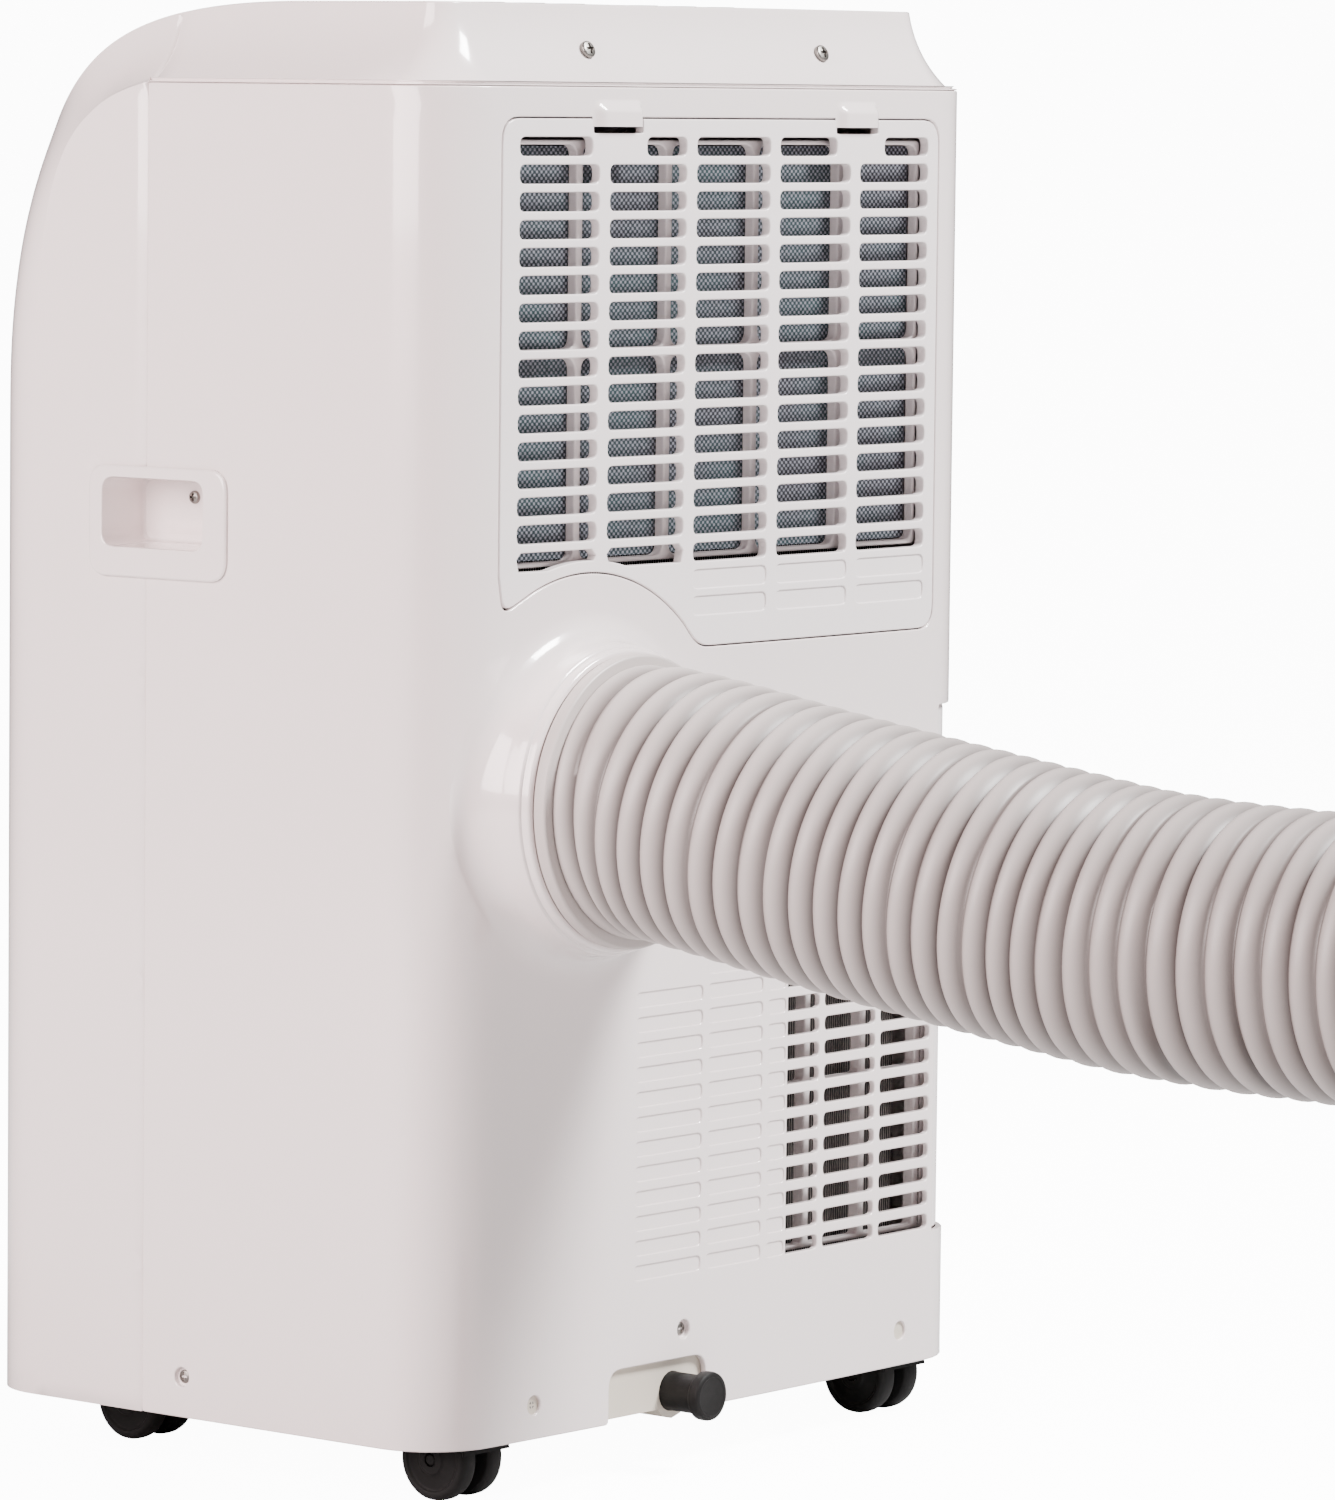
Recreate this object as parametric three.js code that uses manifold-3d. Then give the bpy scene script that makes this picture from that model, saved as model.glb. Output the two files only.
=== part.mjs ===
// Portable room air conditioner on casters, with its exhaust duct.
// Millimetres, +Z up, floor at z = 0. The front faces -Y and the rear faces +Y.
import * as THREE from 'three';
import { mergeVertices } from 'three/addons/utils/BufferGeometryUtils.js';
import Module from 'manifold-3d';

const wasm = await Module();
wasm.setup();

// ---- driving dimensions of the casing
const width = 414;
const depth = 304; // side walls, back plane to the start of the bowed front
const frontBow = 8;
const skirtZ = 28; // lower edge of the casing above the floor
const seamRise = 640; // casing lower edge to the seam under the top cover
const coverRise = 39; // top cover, seam to flat top
const coverInset = 25; // how far the cove draws the top in
const coveLedge = 5.6;
const coveLedgeRise = 1.5;
const wall = 3;
const cornerR = 37;
const frontCornerR = 38;
const frontCornerGrowth = 37; // extra length of the front corner where the top sweeps back
const sweepStart = 480; // height over the skirt at which the front starts to sweep back
const sweepLength = 184; // how far back the sweep reaches the flat top
const seamFromRear = 192; // side seam between the rear housing and the front shell
const seam = 0.3; // gap between touching pieces
const fit = 0.4; // clearance of a piece in its opening

// ---- places that follow from them
const halfW = width / 2;
const rearY = (depth + frontBow) / 2;
const frontY = rearY - depth;
const seamZ = skirtZ + seamRise;
const topZ = seamZ + coverRise;
const seamY = rearY - seamFromRear;
const inRearY = rearY - wall;
const shellSpan = 2 * (width + depth); // longer than the casing any way

// ---- how finely round pieces are cut
const roundSides = 20;
const bigSides = 32;
const smallSides = 12;

// ---- exhaust collar and duct
const collarX = 105;
const collarZ = 332;
const collarDepth = 24;
const ductR = 65;
const flareR = ductR + 21;
const collarR = ductR + 9;
const ductWall = 3;
const ductGrip = 8; // connector lip past the collar, where the duct starts
const collarBoreR = ductR + 4;

// ---- upper filter cover
const coverRightX = 168.5; // edge on the +X side
const coverLeftX = -167;
const coverTopZ = seamZ - 15;
const coverBottomZ = 400;
const humpR = 107; // edge that follows the collar
const coverThick = 3;
const slotCols = 5;
const slotPitchX = 64.5;
const slotW = 56.6;
const slotFirstX = 156.3;
const slotRows = 16;
const slotPitchZ = 12.97;
const slotH = 9;
const slotTopZ = coverTopZ - 8.6;

// ---- lower grille and the filter behind it
const lowCols = 3;
const lowPitchX = 46.5;
const lowSlotW = 41.8;
const lowFirstX = -34.9;
const lowRows = 13;
const lowPitchZ = 12.03;
const lowSlotH = 7;
const lowFirstZ = 99.2;
const lowCutX = -51.3; // the first column is only open from here on
const sideFilterBottom = 94;
const sideFilterTop = 360;
const sideFilterInset = 4;
const sideFilterX = -28; // inner end of the panel
const sideFilterThick = 6;

// ---- casters
const casterWheelR = 20;
const casterWheelW = 12;
const casterWeb = 8;
const casterTrail = 6;
const casterFrontX = 140;
const casterFrontY = rearY - 257;
const axleR = 3;
const wheelBoreR = axleR + 0.3;
const pocketR = casterWheelR + 12.5;
const pocketTopZ = 2 * casterWheelR + 12;
const casterRearX = halfW - pocketR - 11.5;
const casterRearY = rearY - pocketR - 5.5;

// ---- base pan
const panFloorZ = 30;
const panWall = 3;
const panTopZ = pocketTopZ + 8;
const drainX = 33;
const drainZ = 38;
const plugR = 9.5;
const plugFlangeR = 12;
const plugReach = 22; // flange face past the rear wall

const group = new THREE.Group();
const finish = {
  shell: new THREE.MeshStandardMaterial({ color: 0xe9e4e2, roughness: 0.28, metalness: 0 }),
  grille: new THREE.MeshStandardMaterial({ color: 0xe6e2e4, roughness: 0.32, metalness: 0 }),
  pan: new THREE.MeshStandardMaterial({ color: 0xcfc4b6, roughness: 0.6, metalness: 0 }),
  duct: new THREE.MeshStandardMaterial({ color: 0xd3ccc7, roughness: 0.5, metalness: 0 }),
  black: new THREE.MeshStandardMaterial({ color: 0x232121, roughness: 0.45, metalness: 0 }),
  panel: new THREE.MeshStandardMaterial({ color: 0x2b2d31, roughness: 0.2, metalness: 0 }),
  lens: new THREE.MeshStandardMaterial({ color: 0x101316, roughness: 0.1, metalness: 0 }),
  fins: new THREE.MeshStandardMaterial({ color: 0x8f9aa6, roughness: 0.45, metalness: 0.9 }),
  mesh: new THREE.MeshStandardMaterial({ color: 0x5a6a76, roughness: 0.8, metalness: 0 }),
  steel: new THREE.MeshStandardMaterial({ color: 0xa9abad, roughness: 0.4, metalness: 0.9 }),
  copper: new THREE.MeshStandardMaterial({ color: 0xb87352, roughness: 0.35, metalness: 1 }),
  enamel: new THREE.MeshStandardMaterial({ color: 0x1c1d1f, roughness: 0.4, metalness: 0.3 }),
  foam: new THREE.MeshStandardMaterial({ color: 0xf0eeea, roughness: 0.9, metalness: 0 }),
};

// ---- solids

// A closed three.js geometry as a solid whose faces point outwards.
function solid(geometry) {
  geometry.deleteAttribute('normal');
  geometry.deleteAttribute('uv');
  const merged = mergeVertices(geometry, 1e-4);
  const vertProperties = new Float32Array(merged.attributes.position.array);
  const triVerts = new Uint32Array(merged.index.array);
  const made = new wasm.Manifold(new wasm.Mesh({ numProp: 3, vertProperties, triVerts }));
  if (made.volume() > 0) return made;
  for (let i = 0; i < triVerts.length; i += 3) triVerts.subarray(i, i + 2).reverse();
  return new wasm.Manifold(new wasm.Mesh({ numProp: 3, vertProperties, triVerts }));
}

function addPart(name, body, material) {
  const { vertProperties, triVerts } = body.getMesh();
  const geometry = new THREE.BufferGeometry();
  geometry.setAttribute('position', new THREE.BufferAttribute(vertProperties, 3));
  geometry.setIndex(new THREE.BufferAttribute(triVerts, 1));
  geometry.computeVertexNormals();
  const mesh = new THREE.Mesh(geometry, material);
  mesh.name = name;
  group.add(mesh);
}

function block(x0, x1, y0, y1, z0, z1) {
  const geometry = new THREE.BoxGeometry(x1 - x0, y1 - y0, z1 - z0);
  geometry.translate((x0 + x1) / 2, (y0 + y1) / 2, (z0 + z1) / 2);
  return solid(geometry);
}

function joined(solids) {
  return solids.reduce((sum, next) => sum.add(next));
}

// A turned piece: [radius, distance along the axis] pairs that start and end on the axis,
// or close on themselves, with the axis along direction from the given place.
function turned(profile, place, direction, sides = roundSides) {
  const points = profile.map(([r, h]) => new THREE.Vector2(r, h));
  const geometry = new THREE.LatheGeometry(points, sides);
  const up = new THREE.Vector3(0, 1, 0);
  const turn = new THREE.Quaternion().setFromUnitVectors(up, new THREE.Vector3(...direction));
  geometry.applyQuaternion(turn);
  geometry.translate(...place);
  return solid(geometry);
}

const rod = (r, length, place, direction, sides = roundSides) =>
  turned([[0, 0], [r, 0], [r, length], [0, length]], place, direction, sides);

const pipe = (r, bore, length, place, direction, sides = roundSides) =>
  turned([[bore, 0], [r, 0], [r, length], [bore, length], [bore, 0]], place, direction, sides);

// A flat shape drawn in X and Z, as a slab that reaches from rear - thick to rear along Y.
function slabY(shape, rear, thick) {
  const geometry = new THREE.ExtrudeGeometry(shape, {
    depth: thick, bevelEnabled: false, curveSegments: 8,
  });
  geometry.rotateX(Math.PI / 2);
  geometry.translate(0, rear, 0);
  return solid(geometry);
}

// Rings of the same number of points, one above the other, as a solid with flat ends.
function loft(rings) {
  const count = rings[0].length;
  const positions = rings.flat().flatMap((p) => [p.x, p.y, p.z]);
  const index = [];
  for (let k = 0; k + 1 < rings.length; k += 1) {
    for (let i = 0; i < count; i += 1) {
      const a = k * count + i;
      const b = k * count + (i + 1) % count;
      index.push(a, b, b + count, a, b + count, a + count);
    }
  }
  const last = (rings.length - 1) * count;
  const flat = rings[0].map((p) => new THREE.Vector2(p.x, p.y));
  const flatLast = rings[rings.length - 1].map((p) => new THREE.Vector2(p.x, p.y));
  THREE.ShapeUtils.triangulateShape(flat, []).forEach(([a, b, c]) => index.push(a, c, b));
  THREE.ShapeUtils.triangulateShape(flatLast, []).forEach(([a, b, c]) => {
    index.push(last + a, last + b, last + c);
  });
  const geometry = new THREE.BufferGeometry();
  geometry.setAttribute('position', new THREE.Float32BufferAttribute(positions, 3));
  geometry.setIndex(index);
  return solid(geometry);
}

// ---- the casing's form

// The front's side profile: upright, then one sweep back onto the flat top.
const sweep = new THREE.CubicBezierCurve(
  new THREE.Vector2(frontY, skirtZ + sweepStart),
  new THREE.Vector2(frontY, seamZ),
  new THREE.Vector2(frontY + 42, topZ - 1),
  new THREE.Vector2(frontY + sweepLength, topZ),
);

function frontAt(z) {
  if (z <= skirtZ + sweepStart) return frontY;
  let low = 0;
  let high = 1;
  for (let i = 0; i < 40; i += 1) {
    const middle = (low + high) / 2;
    if (sweep.getPoint(middle).y < z) low = middle;
    else high = middle;
  }
  return sweep.getPoint((low + high) / 2).x;
}

// The cove round the top cover: a narrow ledge, then a hollow curve up to the flat top.
const cove = new THREE.QuadraticBezierCurve(
  new THREE.Vector2(coveLedge, coveLedgeRise),
  new THREE.Vector2(coverInset - 4, coverRise * 0.42),
  new THREE.Vector2(coverInset, coverRise),
);
const coveSteps = cove.getPoints(7).map((p) => ({ z: seamZ + p.y, inset: p.x }));
const sweepSteps = [0, 34, 64, 90, 112, 130, 145].map((rise) => ({
  z: skirtZ + sweepStart + rise, inset: 0,
}));
const stations = [{ z: skirtZ, inset: 0 }, ...sweepSteps, { z: seamZ, inset: 0 }, ...coveSteps];

// A quarter of an ellipse about (x, y) from one angle on, without its last point.
function corner(x, y, rx, ry, from, steps) {
  return Array.from({ length: steps }, (_, i) => {
    const angle = from + (i / steps) * (Math.PI / 2);
    return new THREE.Vector2(x + rx * Math.cos(angle), y + ry * Math.sin(angle));
  });
}

// The casing's outline at one height, drawn in by an offset, counter-clockwise from above.
function outline({ z, inset }, offset) {
  const side = halfW - inset - offset;
  const rear = rearY - inset - offset;
  const front = frontAt(z) + offset;
  const rise = THREE.MathUtils.smoothstep(z, seamZ - 30, seamZ);
  const rearR = Math.max(cornerR - inset - offset, 8);
  const frontRx = frontCornerR - offset;
  const frontRy = frontRx + frontCornerGrowth * rise;
  const flat = side - frontRx;
  const bowSteps = 8;
  const bow = Array.from({ length: bowSteps }, (_, i) => {
    const x = -flat + (2 * flat * i) / bowSteps;
    return new THREE.Vector2(x, front - frontBow * (1 - (x / flat) ** 2));
  });
  return [
    ...corner(side - rearR, rear - rearR, rearR, rearR, 0, 6),
    new THREE.Vector2(side - rearR, rear),
    ...corner(-side + rearR, rear - rearR, rearR, rearR, Math.PI / 2, 6),
    new THREE.Vector2(-side, rear - rearR),
    ...corner(-flat, front + frontRy, frontRx, frontRy, Math.PI, 6),
    ...bow,
    ...corner(flat, front + frontRy, frontRx, frontRy, 1.5 * Math.PI, 6),
    new THREE.Vector2(side, front + frontRy),
  ];
}

const ring = (station, offset, z = station.z) =>
  outline(station, offset).map((p) => new THREE.Vector3(p.x, p.y, z));

function casing(offset, bottom, top) {
  const between = stations.filter(({ z }) => z > bottom && z < top - 0.01);
  return loft([
    ring(stations[0], offset, bottom),
    ...between.map((station) => ring(station, offset)),
    ring(stations.find(({ z }) => z >= top - 0.01) ?? stations[stations.length - 1], offset, top),
  ]);
}

// A level plate of the casing's outline, drawn in by an offset.
const level = (z0, z1, offset) => loft([
  ring({ z: z0, inset: 0 }, offset),
  ring({ z: z0, inset: 0 }, offset, z1),
]);

const outer = casing(0, skirtZ, topZ);
const inner = casing(wall, skirtZ - 1, topZ - wall);
const shell = outer.subtract(inner);

// ---- upper filter cover's outline, grown by an offset

function filterOutline(grow) {
  const right = coverRightX + grow;
  const left = coverLeftX - grow;
  const top = coverTopZ + grow;
  const bottom = coverBottomZ - grow;
  const r = humpR - grow;
  const soft = 12;
  const footX = collarX - Math.sqrt(r ** 2 - (bottom - collarZ) ** 2);
  const tipX = right - 9;
  const tipAngle = Math.acos((tipX - collarX) / r);
  const footAngle = Math.PI - Math.acos((collarX - footX) / r) - 0.09;
  const shape = new THREE.Shape();
  shape.moveTo(right - soft, top);
  shape.lineTo(left + soft, top);
  shape.quadraticCurveTo(left, top, left, top - soft);
  shape.lineTo(left, bottom + soft);
  shape.quadraticCurveTo(left, bottom, left + soft, bottom);
  shape.lineTo(footX - soft, bottom);
  const footEnd = [collarX + r * Math.cos(footAngle), collarZ + r * Math.sin(footAngle)];
  shape.quadraticCurveTo(footX, bottom, ...footEnd);
  shape.absarc(collarX, collarZ, r, footAngle, tipAngle, true);
  shape.quadraticCurveTo(right, shape.currentPoint.y - 5, right, shape.currentPoint.y + 8);
  shape.lineTo(right, top - soft);
  shape.quadraticCurveTo(right, top, right - soft, top);
  return shape;
}

// ---- casing pieces

const pocketDepth = 27;
const handleRearY = rearY - 139;
const handleFrontY = rearY - 228;
const handleBottomZ = 431.5;
const handleTopZ = 485;
const pocketRearY = handleRearY - 15;
const pocketFrontY = handleFrontY + 9;
const pocketBottomZ = 446;
const pocketTop = 479;
const handleWall = 2;

// Both sides' openings for the handle pockets.
const handleCuts = [1, -1].map((side) => {
  const inside = halfW - pocketDepth - 10;
  const reach = handleWall + fit;
  return block(
    Math.min(side * inside, side * shellSpan), Math.max(side * inside, side * shellSpan),
    pocketFrontY - reach, pocketRearY + reach, pocketBottomZ - reach, pocketTop + reach,
  );
});

function collarForm() {
  const flare = [
    [flareR, wall * -0.5], [flareR, 0], [flareR - 6, 1.2], [collarR + 1.5, 6],
    [collarR, 11], [collarR, collarDepth - 6],
  ];
  return turned([
    [collarBoreR, -wall], ...flare, [collarR, collarDepth - 3], [collarR - 2.5, collarDepth],
    [collarBoreR, collarDepth], [collarBoreR, -wall],
  ], [collarX, rearY, collarZ], [0, 1, 0], bigSides);
}

function lowerSlots() {
  const slots = [];
  for (let column = 0; column < lowCols; column += 1) {
    const start = column === 0 ? lowCutX : lowFirstX - column * lowPitchX;
    const end = lowFirstX - column * lowPitchX - lowSlotW;
    for (let row = 0; row < lowRows; row += 1) {
      const z = lowFirstZ + row * lowPitchZ;
      slots.push(block(end, start, inRearY - 5, rearY + 5, z - lowSlotH / 2, z + lowSlotH / 2));
    }
  }
  return slots;
}

function rearHousing() {
  const zone = block(-shellSpan, shellSpan, seamY + seam / 2, shellSpan, 0, seamZ - seam / 2);
  const bore = rod(collarBoreR, 60, [collarX, rearY - 30, collarZ], [0, 1, 0], bigSides);
  const lip = slabY(filterOutline(3), inRearY + 0.5, 3.8)
    .subtract(slabY(filterOutline(-6), inRearY + 1, 5))
    .intersect(block(-shellSpan, shellSpan, 0, shellSpan, humpR + collarZ + 14, seamZ - 4));
  const corner = block(
    -shellSpan, -halfW + cornerR - 4, rearY - cornerR, shellSpan,
    sideFilterBottom - fit, sideFilterTop + fit,
  );
  const notch = new THREE.Shape();
  const notchHalf = 36;
  const notchX = drainX + 14;
  const notchTop = skirtZ + 26;
  notch.moveTo(notchX - notchHalf, skirtZ - 5);
  notch.lineTo(notchX + notchHalf, skirtZ - 5);
  notch.lineTo(notchX + notchHalf, notchTop - 12);
  notch.quadraticCurveTo(notchX + notchHalf, notchTop, notchX + notchHalf - 12, notchTop);
  notch.lineTo(notchX - notchHalf + 12, notchTop);
  notch.quadraticCurveTo(notchX - notchHalf, notchTop, notchX - notchHalf, notchTop - 12);
  notch.lineTo(notchX - notchHalf, skirtZ - 5);
  const cuts = [
    slabY(filterOutline(fit), rearY + 5, wall + 5.2), corner,
    slabY(notch, rearY + 5, wall + 10), ...handleCuts, ...lowerSlots(),
    rod(inletR + fit, 20, [-halfW - 10, inletY, inletZ], [1, 0, 0], smallSides),
  ];
  return shell.intersect(zone).subtract(bore).add(collarForm()).add(lip)
    .subtract(joined(cuts));
}

// ---- front shell with the air outlet and its flap

const outletHalfW = 150;
const outletBottomZ = seamZ - 92;
const outletTopZ = seamZ - 28;
const flapGap = 1.5;

function frontShell() {
  const zone = block(-shellSpan, shellSpan, -shellSpan, seamY - seam / 2, 0, shellSpan);
  const outlet = block(
    -outletHalfW, outletHalfW, -shellSpan, seamY - 20, outletBottomZ, outletTopZ,
  );
  return shell.intersect(zone).subtract(outlet).subtract(joined(handleCuts));
}

function louvre() {
  const zone = block(
    -outletHalfW + flapGap, outletHalfW - flapGap, -shellSpan, seamY - 20,
    outletBottomZ + flapGap, outletTopZ - flapGap,
  );
  return shell.intersect(zone);
}

// ---- top cover with the control panel

const panelHalfW = 112;
const panelFrontY = 42;
const panelRearY = 108;
const panelThick = 3;
const buttonXs = [-88, -58, -28, 28, 58, 88];
const buttonY = 75;
const buttonR = 9;
const buttonProud = 1;
const displayHalfW = 15;
const displayHalfH = 13;

function topCover() {
  const zone = block(-shellSpan, shellSpan, seamY + seam / 2, shellSpan, seamZ + seam / 2, shellSpan);
  const recess = block(
    -panelHalfW - fit, panelHalfW + fit, panelFrontY - fit, panelRearY + fit,
    topZ - wall - 5, topZ + 5,
  );
  const tray = block(
    -panelHalfW - 3, panelHalfW + 3, panelFrontY - 3, panelRearY + 3,
    topZ - wall - 5, topZ - wall + 1,
  );
  const well = block(
    -panelHalfW - fit, panelHalfW + fit, panelFrontY - fit, panelRearY + fit,
    topZ - wall - 3, topZ + 5,
  );
  return shell.intersect(zone).subtract(recess).add(tray).subtract(well);
}

function controlPanel() {
  const plate = block(-panelHalfW, panelHalfW, panelFrontY, panelRearY, topZ - panelThick, topZ);
  const window = block(
    -displayHalfW - fit, displayHalfW + fit, buttonY - displayHalfH - fit,
    buttonY + displayHalfH + fit, topZ - 10, topZ + 5,
  );
  const holes = buttonXs.map((x) =>
    rod(buttonR + fit, 20, [x, buttonY, topZ - 10], [0, 0, 1], smallSides));
  return plate.subtract(window).subtract(joined(holes));
}

const button = (x) => turned([
  [0, -panelThick + 0.4], [buttonR - 1, -panelThick + 0.4], [buttonR, -panelThick + 1],
  [buttonR, buttonProud - 0.6], [buttonR - 1.2, buttonProud], [0, buttonProud],
], [x, buttonY, topZ], [0, 0, 1], smallSides);

// ---- air outlet: duct, swing vanes and their tie bar

const vaneXs = [-96, -32, 32, 96];
const vaneY = -92;
const vaneBottomZ = outletBottomZ + 6;
const vaneTopZ = outletTopZ - 12;
const vaneThick = 1.6;
const vaneFront = 12;
const vaneTail = 26;
const tieY = vaneY + vaneTail + 3;
const ductFrontY = -84;
const scrollFrontY = 22;

function outletDuct() {
  const outside = 2.5;
  const frontHalf = outletHalfW - 4;
  const rearHalf = 112;
  const section = (y, half, z0, z1, grow) => [
    new THREE.Vector3(-half - grow, z0 - grow, -y), new THREE.Vector3(half + grow, z0 - grow, -y),
    new THREE.Vector3(half + grow, z1 + grow, -y), new THREE.Vector3(-half - grow, z1 + grow, -y),
  ];
  const tube = (grow, reach) => {
    const rings = [
      section(scrollFrontY - seam + reach, rearHalf, outletBottomZ - 4, outletTopZ - 14, grow),
      section(ductFrontY + 34, frontHalf, outletBottomZ + 2, outletTopZ - 8, grow),
      section(ductFrontY - reach, frontHalf, outletBottomZ + 2, outletTopZ - 8, grow),
    ];
    return loft(rings).rotate([90, 0, 0]);
  };
  return tube(outside, 0).subtract(tube(0, 1));
}

function vane(x) {
  const plate = block(
    x - vaneThick / 2, x + vaneThick / 2, vaneY - vaneFront, vaneY + vaneTail,
    vaneBottomZ, vaneTopZ,
  );
  return plate.add(rod(2, vaneTopZ - vaneBottomZ, [x, vaneY, vaneBottomZ], [0, 0, 1], 8));
}

const tieBar = () => block(
  vaneXs[0] - 6, vaneXs[3] + 6, tieY - 1, tieY + 3, vaneBottomZ + 8, vaneBottomZ + 13,
);

// ---- filters

function filterCover() {
  const plate = slabY(filterOutline(0), rearY, coverThick);
  const slots = [];
  for (let column = 0; column < slotCols; column += 1) {
    const right = slotFirstX - column * slotPitchX;
    for (let row = 0; row < slotRows; row += 1) {
      const top = slotTopZ - row * slotPitchZ;
      const short = row === slotRows - 1 && column === 0 ? 26 : 0;
      const late = row === slotRows - 1 && column === 1 ? 18 : 0;
      slots.push(block(
        right - slotW + short, right - late, rearY - 10, rearY + 5, top - slotH, top,
      ));
    }
  }
  return plate.subtract(joined(slots));
}

const frameRightX = coverRightX - 7;
const frameLeftX = coverLeftX + 7;
const frameRibPitch = 67;
const frameRibXs = [3, 2, 1, 0].map((i) => slotFirstX - 51.8 - i * frameRibPitch);
const frameBottomZ = collarZ + humpR + 3;
const frameTopZ = coverTopZ - 10;
const frameRearY = inRearY - 6;
const frameThick = 5;

function filterFrame() {
  const border = 7;
  const rib = 4;
  const plate = block(
    frameLeftX, frameRightX, frameRearY - frameThick, frameRearY, frameBottomZ, frameTopZ,
  );
  const openings = [];
  const edges = [frameLeftX + border - rib / 2, ...frameRibXs, frameRightX - border + rib / 2];
  const cellH = (frameTopZ - frameBottomZ - 2 * border - rib) / 2;
  for (let i = 0; i + 1 < edges.length; i += 1) {
    for (let k = 0; k < 2; k += 1) {
      const z = frameBottomZ + border + k * (cellH + rib);
      openings.push(block(
        edges[i] + rib / 2, edges[i + 1] - rib / 2, frameRearY - 20, frameRearY + 5, z, z + cellH,
      ));
    }
  }
  return plate.subtract(joined(openings));
}

const netRearY = frameRearY - frameThick - seam;
const filterMesh = () => block(
  frameLeftX + 3, frameRightX - 3, netRearY - 0.8, netRearY, frameBottomZ + 3, frameTopZ - 3,
);

// The lower filter's panel, with the curved strip that closes the casing's corner.
function lowerFilter() {
  const rear = inRearY - 4;
  const border = 7;
  const bottom = sideFilterBottom + 6;
  const top = sideFilterTop - 8;
  const cornerX = -halfW + cornerR;
  const cornerY = rearY - cornerR;
  const r = cornerR - sideFilterInset;
  const panel = block(cornerX - 8, sideFilterX, rear - sideFilterThick, rear, bottom, top);
  const cell = (top - bottom - 2 * border - 8) / 3;
  const cells = [0, 1, 2].flatMap((k) => {
    const z = bottom + border + k * (cell + 4);
    return [
      block(cornerX + 2, sideFilterX - border, rear - 2, rear + 5, z, z + cell),
      block(cornerX + 2, sideFilterX - border, rear - 20, rear - 3, z, z + cell),
    ];
  });
  const strip = pipe(
    r, r - 3, sideFilterTop - sideFilterBottom, [cornerX, cornerY, sideFilterBottom], [0, 0, 1], bigSides,
  ).intersect(block(
    -shellSpan, cornerX - 5, cornerY + 0.5, shellSpan, 0, shellSpan,
  ));
  return panel.subtract(joined(cells)).add(strip);
}

// ---- handles: a plate on the side with a finger pocket

function handle(side) {
  const shape = new THREE.Shape();
  const big = 11;
  shape.moveTo(handleFrontY + 3, handleTopZ);
  shape.lineTo(handleRearY - 5, handleTopZ);
  shape.quadraticCurveTo(handleRearY, handleTopZ, handleRearY, handleTopZ - 5);
  shape.lineTo(handleRearY, handleBottomZ + big);
  shape.quadraticCurveTo(handleRearY, handleBottomZ, handleRearY - big, handleBottomZ);
  shape.lineTo(handleFrontY + big, handleBottomZ);
  shape.quadraticCurveTo(handleFrontY, handleBottomZ, handleFrontY, handleBottomZ + big);
  shape.lineTo(handleFrontY, handleTopZ - 3);
  shape.quadraticCurveTo(handleFrontY, handleTopZ, handleFrontY + 3, handleTopZ);
  const geometry = new THREE.ExtrudeGeometry(shape, {
    depth: handleWall, bevelEnabled: false, curveSegments: 6,
  });
  geometry.rotateX(Math.PI / 2);
  geometry.rotateZ(Math.PI / 2);
  geometry.translate(side > 0 ? halfW + seam : -halfW - seam - handleWall, 0, 0);
  const plate = solid(geometry);
  const deep = halfW - pocketDepth;
  const span = (x0, x1) => [Math.min(side * x0, side * x1), Math.max(side * x0, side * x1)];
  const box = block(
    ...span(deep - handleWall, halfW + seam + 1), pocketFrontY - handleWall,
    pocketRearY + handleWall, pocketBottomZ - handleWall, pocketTop + handleWall,
  );
  const room = block(
    ...span(deep, halfW + 20), pocketFrontY, pocketRearY, pocketBottomZ, pocketTop,
  );
  return plate.add(box).subtract(room);
}

// ---- base pan with caster pockets and the drain boss

const casterPlaces = [
  { name: 'rear_left', x: casterRearX, y: casterRearY },
  { name: 'rear_right', x: -casterRearX, y: casterRearY },
  { name: 'front_left', x: casterFrontX, y: casterFrontY },
  { name: 'front_right', x: -casterFrontX, y: casterFrontY },
];

function basePan() {
  const offset = wall + fit;
  const tray = level(panFloorZ, panTopZ, offset)
    .subtract(level(panFloorZ + panWall, panTopZ + 5, offset + panWall));
  const pocket = (r, bottom, top) => joined(casterPlaces.map(({ x, y }) =>
    rod(r, top - bottom, [x, y, bottom], [0, 0, 1])));
  const boss = rod(plugR + 4, 26, [drainX, inRearY - fit - 26, drainZ], [0, 1, 0], smallSides);
  const post = block(56, 64, 50, 58, panFloorZ + 1, pocketTopZ + 6);
  return tray
    .add(pocket(pocketR + 1.8, panFloorZ, pocketTopZ + 2.5))
    .add(boss).add(post)
    .subtract(pocket(pocketR, 0, pocketTopZ))
    .subtract(rod(plugR + fit, 60, [drainX, inRearY - 50, drainZ], [0, 1, 0]));
}

const drainPlug = () => turned([
  [0, -22], [plugR - 0.8, -22], [plugR, -20], [plugR, plugReach - 7],
  [plugFlangeR, plugReach - 6], [plugFlangeR, plugReach - 1.5],
  [plugFlangeR - 1.5, plugReach], [0, plugReach],
], [drainX, rearY, drainZ], [0, 1, 0]);

// ---- casters

const hoodR = casterWheelR + 2.5;

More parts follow.
